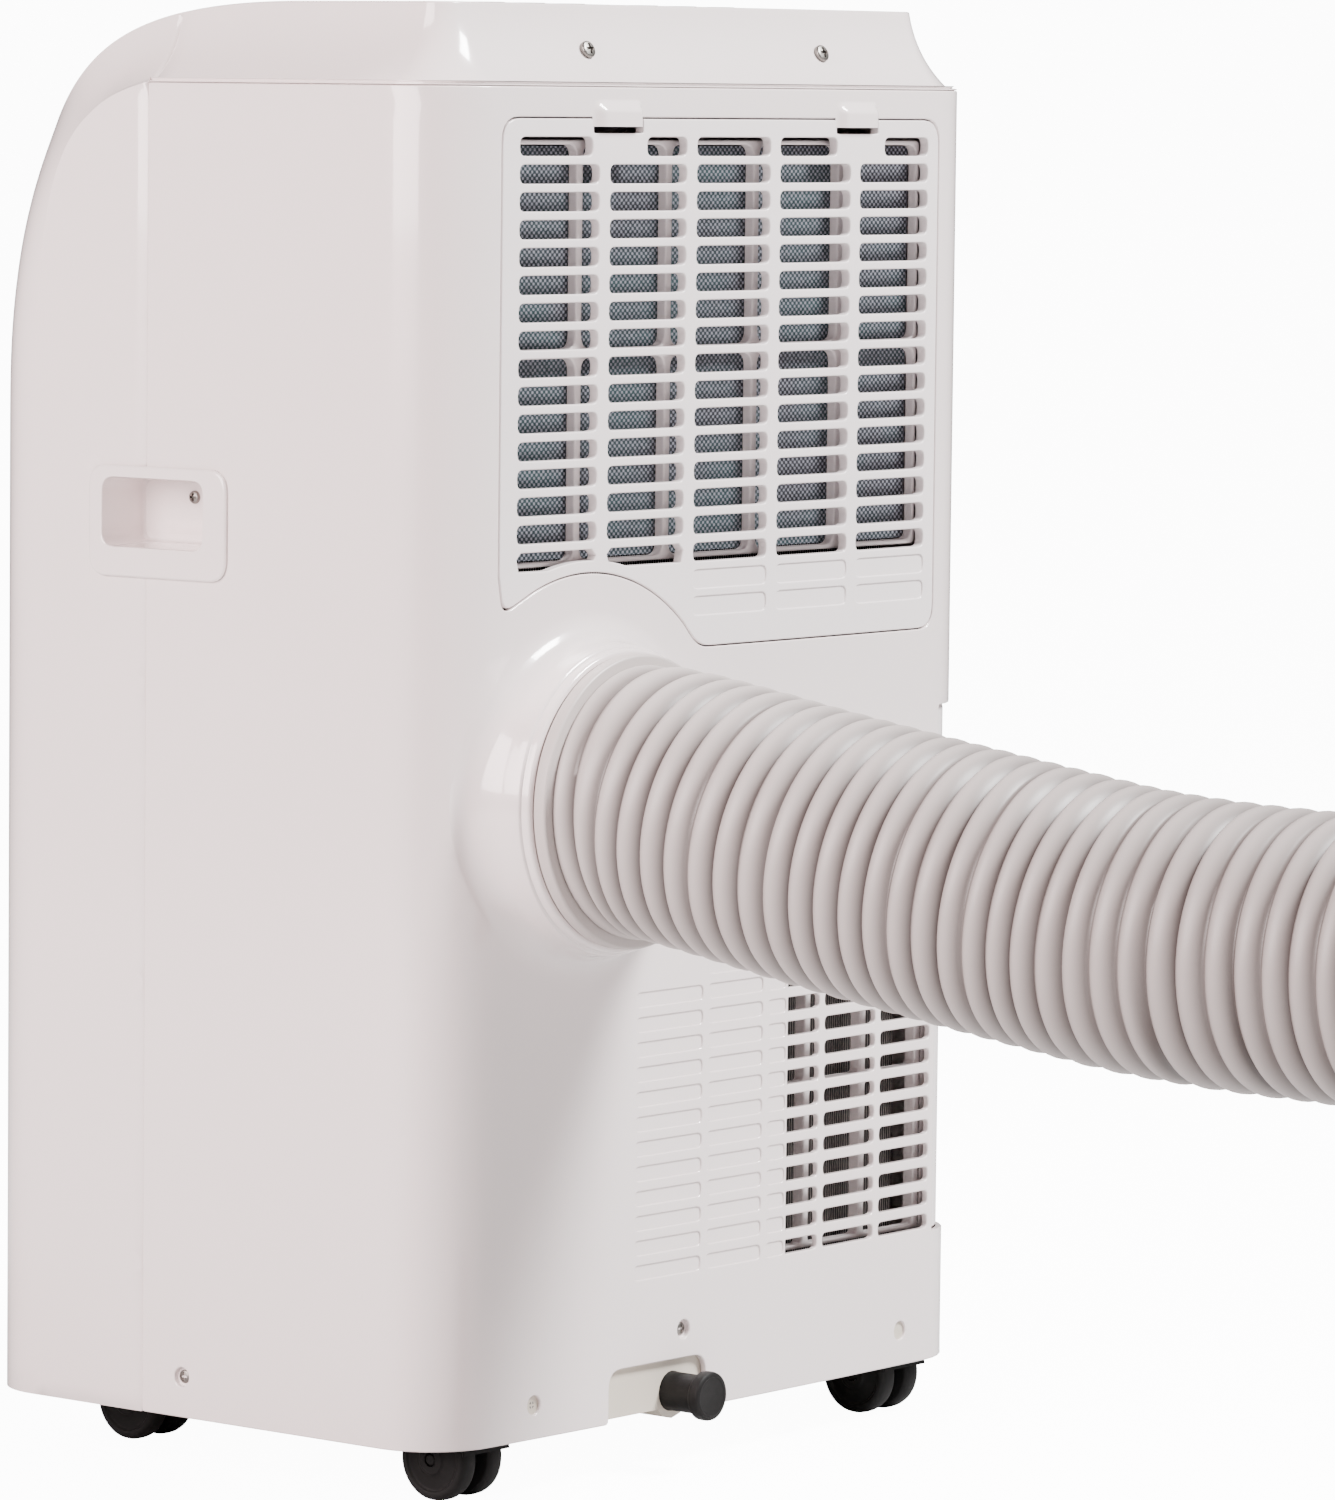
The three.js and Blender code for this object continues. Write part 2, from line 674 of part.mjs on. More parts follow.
function casterFork({ x, y }) {
  const axleY = y + casterTrail;
  const hoodHalf = casterWeb / 2 + casterWheelW + 1;
  const hood = pipe(
    hoodR, casterWheelR + 1, 2 * hoodHalf, [x - hoodHalf, axleY, casterWheelR], [1, 0, 0],
  ).intersect(block(x - 60, x + 60, y - 60, y + 60, casterWheelR + 4, 60));
  const web = rod(
    casterWheelR + 1.6, casterWeb, [x - casterWeb / 2, axleY, casterWheelR], [1, 0, 0],
  ).intersect(block(x - 60, x + 60, y - 60, y + 60, casterWheelR - 7, 60));
  const stem = rod(9, 14, [x, y, pocketTopZ - seam - 14], [0, 0, 1], smallSides);
  const axle = rod(
    axleR, 2 * hoodHalf - 3, [x - hoodHalf + 1.5, axleY, casterWheelR], [1, 0, 0], smallSides,
  );
  return hood.add(web).add(axle).add(stem)
    .subtract(wheelRoom(x, axleY, 1)).subtract(wheelRoom(x, axleY, -1)).add(axle);
}

// The space that one wheel turns in.
function wheelRoom(x, axleY, side) {
  const start = x + side * (casterWeb / 2);
  return rod(casterWheelR + 1, casterWheelW + 20, [start, axleY, casterWheelR], [side, 0, 0])
    .intersect(block(x - 60, x + 60, axleY - 60, axleY + 60, 0, 60));
}

function casterWheel({ x, y }, side) {
  const start = x + side * (casterWeb / 2 + 0.5);
  const r = casterWheelR;
  return turned([
    [wheelBoreR, 0], [r, 0], [r, casterWheelW - 2], [r - 2, casterWheelW],
    [wheelBoreR, casterWheelW - 2], [wheelBoreR, 0],
  ], [start, y + casterTrail, r], [side, 0, 0]);
}

// ---- exhaust duct: connector, duct and window nozzle

const ductStartY = rearY + collarDepth + ductGrip;

function hoseConnector() {
  const inside = ductR - ductWall - 1;
  const skirt = collarBoreR - fit;
  return turned([
    [inside, -34], [skirt, -34], [skirt, collarDepth + 0.5], [skirt + 1.5, collarDepth + 0.5],
    [skirt + 1.5, collarDepth + ductGrip - seam],
    [inside, collarDepth + ductGrip - seam], [inside, -34],
  ], [collarX, rearY, collarZ], [0, 1, 0], bigSides).add(fingerGuard(inside));
}

// Two crossed bars and a hub that keep fingers out of the duct's mouth.
function fingerGuard(bore) {
  const rear = rearY + collarDepth + ductGrip - seam;
  const reach = bore + 2;
  return block(collarX - reach, collarX + reach, rear - 5, rear, collarZ - 1.5, collarZ + 1.5)
    .add(block(collarX - 1.5, collarX + 1.5, rear - 5, rear, collarZ - reach, collarZ + reach))
    .add(rod(12, 5, [collarX, rear - 5, collarZ], [0, 1, 0], smallSides));
}

// The duct's route from the connector, chosen by hand.
const ductRoute = [
  [105, 188, 332], [105, 204, 332], [104.5, 240, 327], [103, 284, 319.5], [100.5, 334, 311.5],
  [97, 389, 303.2], [93.5, 430, 297], [91, 468, 291.8], [88.5, 515, 288.6], [86, 569, 287.2],
  [84, 630, 286.6], [82, 700, 286.4], [80, 770, 286.4], [79, 850, 286.6], [79, 906, 286.6],
].map((p) => new THREE.Vector3(...p));
ductRoute[0].set(collarX, ductStartY, collarZ);
const ductCurve = new THREE.CatmullRomCurve3(ductRoute, false, 'centripetal');

function exhaustHose() {
  const section = new THREE.Shape();
  section.absarc(0, 0, ductR, 0, 2 * Math.PI, false);
  const hollow = new THREE.Path();
  hollow.absarc(0, 0, ductR - ductWall, 0, 2 * Math.PI, true);
  section.holes.push(hollow);
  return solid(new THREE.ExtrudeGeometry(section, {
    steps: 14, curveSegments: 7, bevelEnabled: false, extrudePath: ductCurve,
  }));
}

// The nozzle that the duct ends in: a round socket that flattens into a wide mouth.
function windowNozzle() {
  const last = ductRoute[ductRoute.length - 1];
  const sides = 24;
  const mouthHalfW = 125;
  const mouthHalfH = 29;
  const section = (along, rx, rz) => Array.from({ length: sides }, (_, i) => {
    const angle = (i / sides) * 2 * Math.PI;
    const power = rx === rz ? 1 : 0.55;
    const c = Math.cos(angle);
    const s = Math.sin(angle);
    return new THREE.Vector3(
      last.x + rx * Math.sign(c) * Math.abs(c) ** power,
      last.z + rz * Math.sign(s) * Math.abs(s) ** power,
      -(last.y + seam + along),
    );
  });
  const form = (grow, reach) => loft([
    section(-reach, ductR - ductWall + grow, ductR - ductWall + grow),
    section(26, ductR - ductWall + grow, ductR - ductWall + grow),
    section(78, mouthHalfW - 16 + grow, mouthHalfH + 8 + grow),
    section(104, mouthHalfW + grow, mouthHalfH + grow),
    section(136 + reach, mouthHalfW + grow, mouthHalfH + grow),
  ]).rotate([90, 0, 0]);
  return form(3, 0).subtract(form(0, 1));
}

// ---- inside: fans, scrolls, coils, compressor

const compressorZ = pocketTopZ + 10;
const evapZ = seamZ - 148;
const coilBottomZ = Math.max(seamZ - 258, collarZ + collarR + 4);
const deckZ = coilBottomZ - 38;
const fanR = 95;
const fanFrontY = 34;
const fanRearY = 90;
const shaftR = 4;
const condX = -43;
const condZ = 217;
const condFanR = 84;
const scrollRearY = 100;
const sheet = 2.5;
const inletR = 11;
const inletY = 60;
const inletZ = 84;

// A drum fan: a back disc with a hub, and the blade ring that stands on it.
function blower(r, x, z) {
  const length = fanRearY - fanFrontY;
  return turned([
    [shaftR + 0.3, 0], [r, 0], [r, length], [r - 14, length],
    [r - 14, 3], [14, 3], [14, 12], [shaftR + 0.3, 12], [shaftR + 0.3, 0],
  ], [x, fanFrontY, z], [0, 1, 0]);
}

function motor(r, x, z, length) {
  const nose = scrollFrontY - 2;
  return turned([
    [0, nose - length], [r - 4, nose - length], [r, nose - length + 5], [r, nose - 5],
    [r - 8, nose], [shaftR, nose], [shaftR, fanFrontY + 10], [0, fanFrontY + 10],
  ], [x, 0, z], [0, 1, 0]);
}

function scroll(x0, x1, z0, z1, x, z, r) {
  const box = block(x0, x1, scrollFrontY, scrollRearY, z0, z1);
  const room = rod(
    r, scrollRearY - scrollFrontY - 2 * sheet, [x, scrollFrontY + sheet, z], [0, 1, 0],
  );
  const mouth = rod(r - 22, 20, [x, scrollRearY - 10, z], [0, 1, 0]);
  const shaft = rod(14, 20, [x, scrollFrontY - 10, z], [0, 1, 0], smallSides);
  return box.subtract(room).subtract(mouth).subtract(shaft);
}

const elbowX0 = 54;
const elbowX1 = Math.min(collarX + collarR + 1, halfW - 27);
const elbowZ0 = 262;
const elbowZ1 = collarZ + collarR - 2;

function evaporatorScroll() {
  const outlet = block(
    -110, 110, scrollFrontY - 5, scrollFrontY + 40, outletBottomZ - 2, outletTopZ - 16,
  );
  const bottom = Math.max(evapZ - 109, elbowZ1 + 7);
  return scroll(-118, 118, bottom, evapZ + 111, 0, evapZ, fanR + 9).subtract(outlet);
}

function exhaustScroll() {
  const outlet = block(
    condX + 40, elbowX0 + 5, scrollFrontY + sheet, scrollRearY - sheet, elbowZ0 + 2, 306,
  );
  return scroll(-142, elbowX0 - seam, 118, 316, condX, condZ, condFanR + 9).subtract(outlet);
}

function exhaustElbow() {
  const rear = rearY - 38;
  const box = block(elbowX0, elbowX1, scrollFrontY, rear, elbowZ0, elbowZ1);
  const room = block(
    elbowX0 + sheet, elbowX1 - sheet, scrollFrontY + sheet, rear - sheet,
    elbowZ0 + sheet, elbowZ1 - sheet,
  );
  const entry = block(
    elbowX0 - 5, elbowX0 + 10, scrollFrontY + sheet, scrollRearY - sheet, elbowZ0 + sheet, 306,
  );
  const exit = rod(ductR - ductWall - 1, 20, [collarX, rear - 10, collarZ], [0, 1, 0]);
  return box.subtract(room).subtract(entry).subtract(exit);
}

function deck() {
  const slabFrom = deckZ - 70;
  const slabTo = deckZ + 30;
  return level(deckZ, deckZ + 3, wall + 1)
    .subtract(block(-shellSpan, shellSpan, 138, shellSpan, slabFrom, slabTo))
    .subtract(block(collarX - collarBoreR - 4, shellSpan, 4, shellSpan, slabFrom, slabTo));
}

function compressor() {
  const x = 118;
  const y = -62;
  const shellR = 58;
  const can = turned([
    [0, 0], [shellR - 8, 0], [shellR, 8], [shellR, 150], [shellR - 5, 168], [shellR - 20, 184],
    [0, 190],
  ], [x, y, compressorZ], [0, 0, 1]);
  const feet = block(x - 66, x + 66, y - 20, y + 20, compressorZ - 6, compressorZ + 2);
  const tank = turned([[0, 0], [16, 4], [18, 12], [18, 108], [16, 116], [0, 120]],
    [x - 88, y - 22, compressorZ + 38], [0, 0, 1], smallSides);
  const strapZ = compressorZ + 88;
  const strap = block(x - 86, x - 40, y - 24, y - 12, strapZ, strapZ + 12);
  return can.add(feet).add(tank).add(strap);
}

// A bent pipe of radius r through the given points.
function bentPipe(points, r) {
  const curve = new THREE.CatmullRomCurve3(
    points.map((p) => new THREE.Vector3(...p)), false, 'centripetal',
  );
  const section = new THREE.Shape();
  section.absarc(0, 0, r, 0, 2 * Math.PI, false);
  return solid(new THREE.ExtrudeGeometry(section, {
    steps: 16, curveSegments: 4, bevelEnabled: false, extrudePath: curve,
  }));
}

const coilFrontY = 104;
const coilRearY = 134;
const slingerX = -60;
const slingerZ = pocketTopZ + 26;

// ---- the assembly

addPart('rear_housing', rearHousing(), finish.shell);
addPart('front_shell', frontShell(), finish.shell);
addPart('top_cover', topCover(), finish.shell);
addPart('base_pan', basePan(), finish.pan);
addPart('handle_left', handle(1), finish.shell);
addPart('handle_right', handle(-1), finish.shell);
addPart('filter_cover', filterCover(), finish.grille);
addPart('filter_frame', filterFrame(), finish.grille);
addPart('filter_mesh', filterMesh(), finish.mesh);
addPart('lower_filter', lowerFilter(), finish.grille);
addPart('control_panel', controlPanel(), finish.panel);
addPart('display_window', block(
  -displayHalfW, displayHalfW, buttonY - displayHalfH, buttonY + displayHalfH,
  topZ - panelThick + 0.4, topZ + 0.2,
), finish.lens);
buttonXs.forEach((x, i) => addPart(`button_${i + 1}`, button(x), finish.panel));
addPart('louvre', louvre(), finish.shell);
addPart('outlet_duct', outletDuct(), finish.foam);
vaneXs.forEach((x, i) => addPart(`vane_${i + 1}`, vane(x), finish.grille));
addPart('vane_tie_bar', tieBar(), finish.grille);
casterPlaces.forEach((place) => {
  addPart(`caster_${place.name}_fork`, casterFork(place), finish.black);
  addPart(`caster_${place.name}_wheel_a`, casterWheel(place, 1), finish.black);
  addPart(`caster_${place.name}_wheel_b`, casterWheel(place, -1), finish.black);
});
addPart('drain_plug', drainPlug(), finish.black);
addPart('hose_connector', hoseConnector(), finish.duct);
addPart('exhaust_hose', exhaustHose(), finish.duct);
addPart('window_nozzle', windowNozzle(), finish.duct);
addPart('power_inlet', turned([
  [0, -8], [inletR, -8], [inletR, 4], [inletR + 4, 4.3], [inletR + 4, 7], [inletR - 3, 14],
  [inletR - 6, 14], [inletR - 6, 0], [0, 0],
], [-halfW + 4 - 7.7, inletY, inletZ], [-1, 0, 0], smallSides), finish.black);
addPart('evaporator_coil', block(-150, 150, coilFrontY, coilRearY, coilBottomZ, outletTopZ), finish.fins);
addPart('condenser_coil', block(
  -164, collarX - collarR - 1, coilFrontY, coilRearY, panTopZ + 6, 350,
), finish.fins);
addPart('evaporator_blower', blower(fanR, 0, evapZ), finish.foam);
addPart('condenser_blower', blower(condFanR, condX, condZ), finish.enamel);
addPart('evaporator_scroll', evaporatorScroll(), finish.foam);
addPart('exhaust_scroll', exhaustScroll(), finish.foam);
addPart('exhaust_elbow', exhaustElbow(), finish.foam);
addPart('evaporator_motor', motor(40, 0, evapZ, 58), finish.steel);
addPart('condenser_motor', motor(38, condX, condZ, 52), finish.steel);
addPart('deck', deck(), finish.foam);
addPart('compressor', compressor(), finish.enamel);
addPart('electrical_box', block(-188, -74, -122, -52, compressorZ + 30, 290), finish.steel);
addPart('discharge_pipe', bentPipe([
  [100, -62, compressorZ + 188.6], [100, -62, 300], [70, -20, 335], [20, 60, 352], [10, 112, 358],
  [8, 119, 356], [8, 119, 350.4],
], 4.5), finish.copper);
addPart('suction_pipe', bentPipe([
  [140, -62, compressorZ + 188.4], [142, -60, 290], [188, -20, 330], [191, 30, 375],
  [190, 70, evapZ - 100], [180, 100, evapZ - 65], [165, 118, evapZ - 50], [150.4, 119, evapZ - 50],
], 6), finish.copper);
addPart('slinger_wheel', turned([
  [shaftR - 1 + 0.3, 0], [32, 0], [32, 8], [shaftR - 1 + 0.3, 8], [shaftR - 1 + 0.3, 0],
], [slingerX, 82, slingerZ], [0, 1, 0]), finish.grille);
addPart('slinger_motor', turned([
  [0, 0], [20, 0], [20, 44], [8, 46], [shaftR - 1, 46], [shaftR - 1, 60], [0, 60],
], [slingerX, 32, slingerZ], [0, 1, 0], smallSides), finish.steel);
addPart('float_arm', block(66.3, 110, 52, 56, pocketTopZ - 2, pocketTopZ + 2)
  .add(rod(11, 14, [110, 54, pocketTopZ - 7], [0, 0, 1], smallSides)), finish.foam);

export default group;
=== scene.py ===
# Portable room air conditioner on casters, with its exhaust duct.
# Lengths are in millimetres inside the sections and in metres in Blender; +Z is up and the back faces +Y.
import bpy
import bmesh
import numpy as np
from mathutils import Matrix, Vector
from mathutils.geometry import delaunay_2d_cdt


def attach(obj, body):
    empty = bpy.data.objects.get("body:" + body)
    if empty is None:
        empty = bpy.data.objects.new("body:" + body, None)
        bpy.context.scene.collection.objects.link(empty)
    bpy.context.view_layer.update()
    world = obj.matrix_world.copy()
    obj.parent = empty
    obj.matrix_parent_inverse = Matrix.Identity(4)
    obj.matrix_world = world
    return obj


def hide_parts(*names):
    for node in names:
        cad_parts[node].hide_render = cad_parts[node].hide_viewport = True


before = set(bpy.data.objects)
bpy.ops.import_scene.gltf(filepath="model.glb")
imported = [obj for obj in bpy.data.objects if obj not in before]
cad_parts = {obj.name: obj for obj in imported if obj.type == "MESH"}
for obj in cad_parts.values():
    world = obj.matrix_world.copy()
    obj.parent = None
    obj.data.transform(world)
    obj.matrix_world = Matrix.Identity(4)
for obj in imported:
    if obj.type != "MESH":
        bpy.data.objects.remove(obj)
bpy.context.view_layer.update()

# ---- Camera
# A long lens, low and to the rear left of the unit, that looks at its back and its duct side.
camera = bpy.data.objects.new("camera", bpy.data.cameras.new("camera"))
bpy.context.scene.collection.objects.link(camera)
camera.data.sensor_width = 36
camera.data.lens = 182.6
camera.data.clip_start, camera.data.clip_end = 0.1, 60
sight_right = (-0.63042, 0.77618, 0.01071)
sight_up = (-0.06057, -0.06294, 0.99618)
sight_back = (0.77389, 0.62736, 0.08669)
camera_place = (2.87285, 2.44789, 0.66779)
camera.matrix_world = Matrix([(*row, at) for row, at in zip(zip(sight_right, sight_up, sight_back), camera_place)]
                             + [(0, 0, 0, 1)])
bpy.context.scene.camera = camera

# ---- Exhaust duct
# A blown polyethylene hose of 130 mm over its ribs, pushed into the connector on the back and led to a window.
# Its wall is a ribbed tube that bunches a little where the hose is bent by hand.
MM = 0.001


def norm(v):
    """Each vector of an array divided by its length."""
    return v / np.maximum(np.linalg.norm(v, axis=-1, keepdims=True), 1e-12)


def grid(points, wrap_rows=False, wrap_cols=False):
    """Quads between neighbouring points of a grid of rows and columns, which may close on itself either way."""
    rows, cols = points.shape[:2]
    r = np.arange(rows if wrap_rows else rows - 1)[:, None]
    c = np.arange(cols if wrap_cols else cols - 1)[None, :]
    r2, c2 = (r + 1) % rows, (c + 1) % cols
    quads = np.stack([r * cols + c, r * cols + c2, r2 * cols + c2, r2 * cols + c], -1).reshape(-1, 4)
    return points.reshape(-1, 3), quads


def piece(name, nets, finish, body, nodes=(), sharp=38, wall=0, turn_out=True, attribute=None, even=True):
    """One object from nets of (points in mm, faces). Doubles are merged, faces turned outwards and smoothed up to
    the sharp angle, and an open skin gets its wall thickness by Solidify."""
    starts = np.cumsum([0] + [len(points) for points, faces in nets])
    points = np.concatenate([points for points, faces in nets]) * MM
    faces = [face for start, (_, part) in zip(starts, nets) for face in (part + start).tolist()]
    mesh = bpy.data.meshes.new(name)
    mesh.from_pydata(points.tolist(), [], faces)
    if attribute is not None:
        mesh.attributes.new("painted_shading", "FLOAT", "POINT").data.foreach_set("value", attribute.ravel().astype(np.float32))
    work = bmesh.new()
    work.from_mesh(mesh)
    bmesh.ops.remove_doubles(work, verts=work.verts, dist=1e-5)
    bmesh.ops.dissolve_degenerate(work, edges=work.edges, dist=1e-6)
    if turn_out:
        bmesh.ops.recalc_face_normals(work, faces=work.faces)
    work.to_mesh(mesh)
    work.free()
    mesh.polygons.foreach_set("use_smooth", np.ones(len(mesh.polygons), bool))
    mesh.set_sharp_from_angle(angle=np.radians(sharp))
    made = bpy.data.objects.new(name, mesh)
    bpy.context.scene.collection.objects.link(made)
    if wall:
        thicken = made.modifiers.new("wall", "SOLIDIFY")
        thicken.thickness, thicken.offset, thicken.use_even_offset = wall * MM, -1, True
    if even:
        weigh = made.modifiers.new("even shading", "WEIGHTED_NORMAL")
        weigh.keep_sharp = True
    mesh.materials.append(finish)
    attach(made, body)
    if nodes:
        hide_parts(*nodes)
    return made


def nodes_of(name):
    """A new material with its node tree cleared to one Principled shader and the output."""
    made = bpy.data.materials.new(name)
    made.use_nodes = True
    tree = made.node_tree
    return made, tree, tree.nodes["Principled BSDF"]


def feed(tree, node, inputs):
    """Sets a node's inputs to values, or links them from sockets."""
    for key, value in inputs.items():
        if isinstance(value, bpy.types.NodeSocket):
            tree.links.new(value, node.inputs[key])
        else:
            node.inputs[key].default_value = value


def add(tree, kind, inputs=(), **settings):
    """A node of a kind, with its settings and its inputs fed."""
    node = tree.nodes.new(kind)
    for key, value in settings.items():
        setattr(node, key, value)
    feed(tree, node, dict(inputs))
    return node


def shading_group(name, floats, outputs):
    """An empty node group with number inputs (name: default) and outputs (name: socket kind)."""
    group = bpy.data.node_groups.new(name, "ShaderNodeTree")
    for label, value in floats.items():
        kind = "NodeSocketColor" if isinstance(value, tuple) else "NodeSocketFloat"
        group.interface.new_socket(label, in_out="INPUT", socket_type=kind).default_value = value
    for label, kind in outputs.items():
        group.interface.new_socket(label, in_out="OUTPUT", socket_type=kind)
    return group, group.nodes.new("NodeGroupInput"), group.nodes.new("NodeGroupOutput")


# Moulded plastic: a fine spark-eroded grain, faint flow variation in the colour and patches of handling gloss.
plastic, plastic_in, plastic_out = shading_group(
    "moulded plastic", {"Color": (0.8, 0.8, 0.8, 1), "Roughness": 0.3, "Grain": 1400.0, "Depth": 0.1, "Mottle": 0.03},
    {"Color": "NodeSocketColor", "Roughness": "NodeSocketFloat", "Normal": "NodeSocketVector"})
place = add(plastic, "ShaderNodeTexCoord")
grain = add(plastic, "ShaderNodeTexNoise", {"Vector": place.outputs["Object"], "Scale": plastic_in.outputs["Grain"],
                                            "Detail": 3.0})
cloud = add(plastic, "ShaderNodeTexNoise", {"Vector": place.outputs["Object"], "Scale": 7.0, "Detail": 4.0})
spread = add(plastic, "ShaderNodeMapRange", {"Value": cloud.outputs["Fac"], "From Min": 0.3, "From Max": 0.7,
                                             "To Min": -1.0, "To Max": 1.0})
swing = add(plastic, "ShaderNodeMath", {0: spread.outputs[0], 1: plastic_in.outputs["Mottle"]}, operation="MULTIPLY")
lift = add(plastic, "ShaderNodeMath", {0: swing.outputs[0], 1: 1.0}, operation="ADD")
tint = add(plastic, "ShaderNodeVectorMath", {0: plastic_in.outputs["Color"], "Scale": lift.outputs[0]},
           operation="SCALE")
wipe = add(plastic, "ShaderNodeMath", {0: spread.outputs[0], 1: 0.025, 2: plastic_in.outputs["Roughness"]},
           operation="MULTIPLY_ADD")
bump = add(plastic, "ShaderNodeBump", {"Height": grain.outputs["Fac"], "Strength": plastic_in.outputs["Depth"],
                                       "Distance": 0.0002})
feed(plastic, plastic_out, {"Color": tint.outputs[0], "Roughness": wipe.outputs[0], "Normal": bump.outputs[0]})


def moulded(name, look):
    """A Principled shader fed by the moulded plastic group with its look."""
    made, tree, shader = nodes_of(name)
    group = add(tree, "ShaderNodeGroup", look, node_tree=plastic)
    feed(tree, shader, {"Base Color": group.outputs["Color"], "Roughness": group.outputs["Roughness"],
                        "Normal": group.outputs["Normal"]})
    return made, tree, shader, group


def plastic_finish(name, color, roughness, grain=1400.0, depth=0.1, mottle=0.03, coat=0.0):
    """A moulded plastic in one colour, with a clear gloss where it is polished."""
    made, tree, shader, _ = moulded(name, {"Color": (*color, 1), "Roughness": roughness, "Grain": grain,
                                           "Depth": depth, "Mottle": mottle})
    feed(tree, shader, {"Coat Weight": coat, "Coat Roughness": 0.06})
    return made


# The duct's film is painted lighter on its crests and darker in its creases and folds, as painted highlight and shade,
# and painted darker toward its far end as painted shade, by the painted shading kept with its points.
duct_plastic_painted_shade, duct_tree, _, duct_group = moulded("duct_plastic_painted_shade", {"Roughness": 0.42, "Grain": 900.0, "Depth": 0.12,
                                                                  "Mottle": 0.03})
painted_shading = add(duct_tree, "ShaderNodeAttribute", attribute_name="painted_shading")
# Painted shade and highlight: the mix runs from a near-black shade colour in the creases to the film's lit colour on
# the crests.
duct_shaded_color = add(duct_tree, "ShaderNodeMix", {"Factor": painted_shading.outputs["Fac"], 6: (0.06, 0.046, 0.042, 1),
                                              7: (0.50, 0.445, 0.43, 1)}, data_type="RGBA")
feed(duct_tree, duct_group, {"Color": duct_shaded_color.outputs[2]})

duct_route = np.array([
    (105, 188, 332), (105, 204, 332), (104.5, 240, 327), (103, 284, 319.5), (100.5, 334, 311.5), (97, 389, 303.2),
    (93.5, 430, 297), (91, 468, 291.8), (88.5, 515, 288.6), (86, 569, 287.2), (84, 630, 286.6), (82, 700, 286.4),
    (80, 770, 286.4), (79, 850, 286.6), (79, 906, 286.6)], float)


def smooth_route(points, step):
    """A centripetal Catmull-Rom curve through the points, sampled evenly along its length. Each span blends
    straight lines between its four nearest points by knots that grow with the root of their distances."""
    p = np.concatenate([[2 * points[0] - points[1]], points, [2 * points[-1] - points[-2]]])
    gap = np.sqrt(np.linalg.norm(np.diff(p, axis=0), axis=1))
    t0, t1 = np.zeros(len(points) - 1), gap[:-2]
    t2, t3 = t1 + gap[1:-1], t1 + gap[1:-1] + gap[2:]
    t = (t1[:, None] + (t2 - t1)[:, None] * np.linspace(0, 1, 40, endpoint=False))[..., None]
    k = [v[:, None, None] for v in (t0, t1, t2, t3)]
    q = [p[i:len(p) - 3 + i, None] for i in range(4)]
    a = [((k[i + 1] - t) * q[i] + (t - k[i]) * q[i + 1]) / (k[i + 1] - k[i]) for i in range(3)]
    b = [((k[i + 2] - t) * a[i] + (t - k[i]) * a[i + 1]) / (k[i + 2] - k[i]) for i in range(2)]
    line = (((k[2] - t) * b[0] + (t - k[1]) * b[1]) / (k[2] - k[1])).reshape(-1, 3)
    line = np.concatenate([line, points[-1:]])
    along = np.concatenate([[0], np.cumsum(np.linalg.norm(np.diff(line, axis=0), axis=1))])
    even = np.linspace(0, along[-1], int(round(along[-1] / step)) + 1)
    return np.stack([np.interp(even, along, line[:, i]) for i in range(3)], -1), even


def tube(line, radius, sides):
    """Rings square to a route: its centreline plus the radius times the cosine of the side direction and the sine
    of the up direction, for every angle."""
    ahead = norm(np.gradient(line, axis=0))
    side = norm(np.cross(ahead, (0, 0, 1)))
    up = np.cross(side, ahead)
    angle = np.linspace(0, 2 * np.pi, sides, endpoint=False)
    turn = np.cos(angle)[None, :, None] * side[:, None] + np.sin(angle)[None, :, None] * up[:, None]
    return line[:, None] + radius[..., None] * turn


rib_pitch = 13.6
duct_line, duct_along = smooth_route(duct_route, rib_pitch / 11)
duct_angle = np.linspace(0, 2 * np.pi, 72, endpoint=False)
# The ribs: a rounded crest with a narrow crease, stretched and bunched by two slow waves along the hose.
rib = (duct_along / rib_pitch + 0.35 * np.sin(duct_along / 97) + 0.2 * np.sin(duct_along / 41 + 1))[:, None]
crest = np.sin(np.pi * (rib % 1) ** 0.7) ** 0.7
sag = 0.5 + 0.5 * np.cos(duct_angle[None] + 2.2)
fold = (np.exp(-((duct_along[:, None] - 322) / 3.2) ** 2) + 0.8 * np.exp(-((duct_along[:, None] - 372) / 3.2) ** 2))
duct_radius = 60.4 + 4.5 * crest - 2.4 * fold * sag + 0 * duct_angle
# Painted shade: the colour darkens toward the far end, standing in for light that falls off along the hose; the crests
# are painted lighter and the creases and folds darker as painted highlight and shade.
far_end_painted_shade = 1 - 0.42 * (duct_along[:, None] / duct_along[-1]) ** 0.7
duct_painted_shading = np.clip(crest ** 1.3 - 0.8 * fold * sag, 0, 1) * far_end_painted_shade + 0 * duct_angle
duct_points = tube(duct_line, duct_radius, 72)
hose = piece("corrugated_duct", [grid(duct_points, wrap_cols=True)], duct_plastic_painted_shade, "cabinet",
             ["exhaust_hose"], sharp=75, wall=1.2, attribute=duct_painted_shading, even=False)

# ---- Window nozzle
# The blow-moulded end of the duct: a round socket that flattens into the wide mouth of a window panel.
plain_duct = plastic_finish("duct_plastic_plain", (0.52, 0.462, 0.445), 0.4, mottle=0.02)


def dress(node, finish):
    """Gives a CAD node its finish."""
    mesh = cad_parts[node].data
    mesh.materials.clear()
    mesh.materials.append(finish)


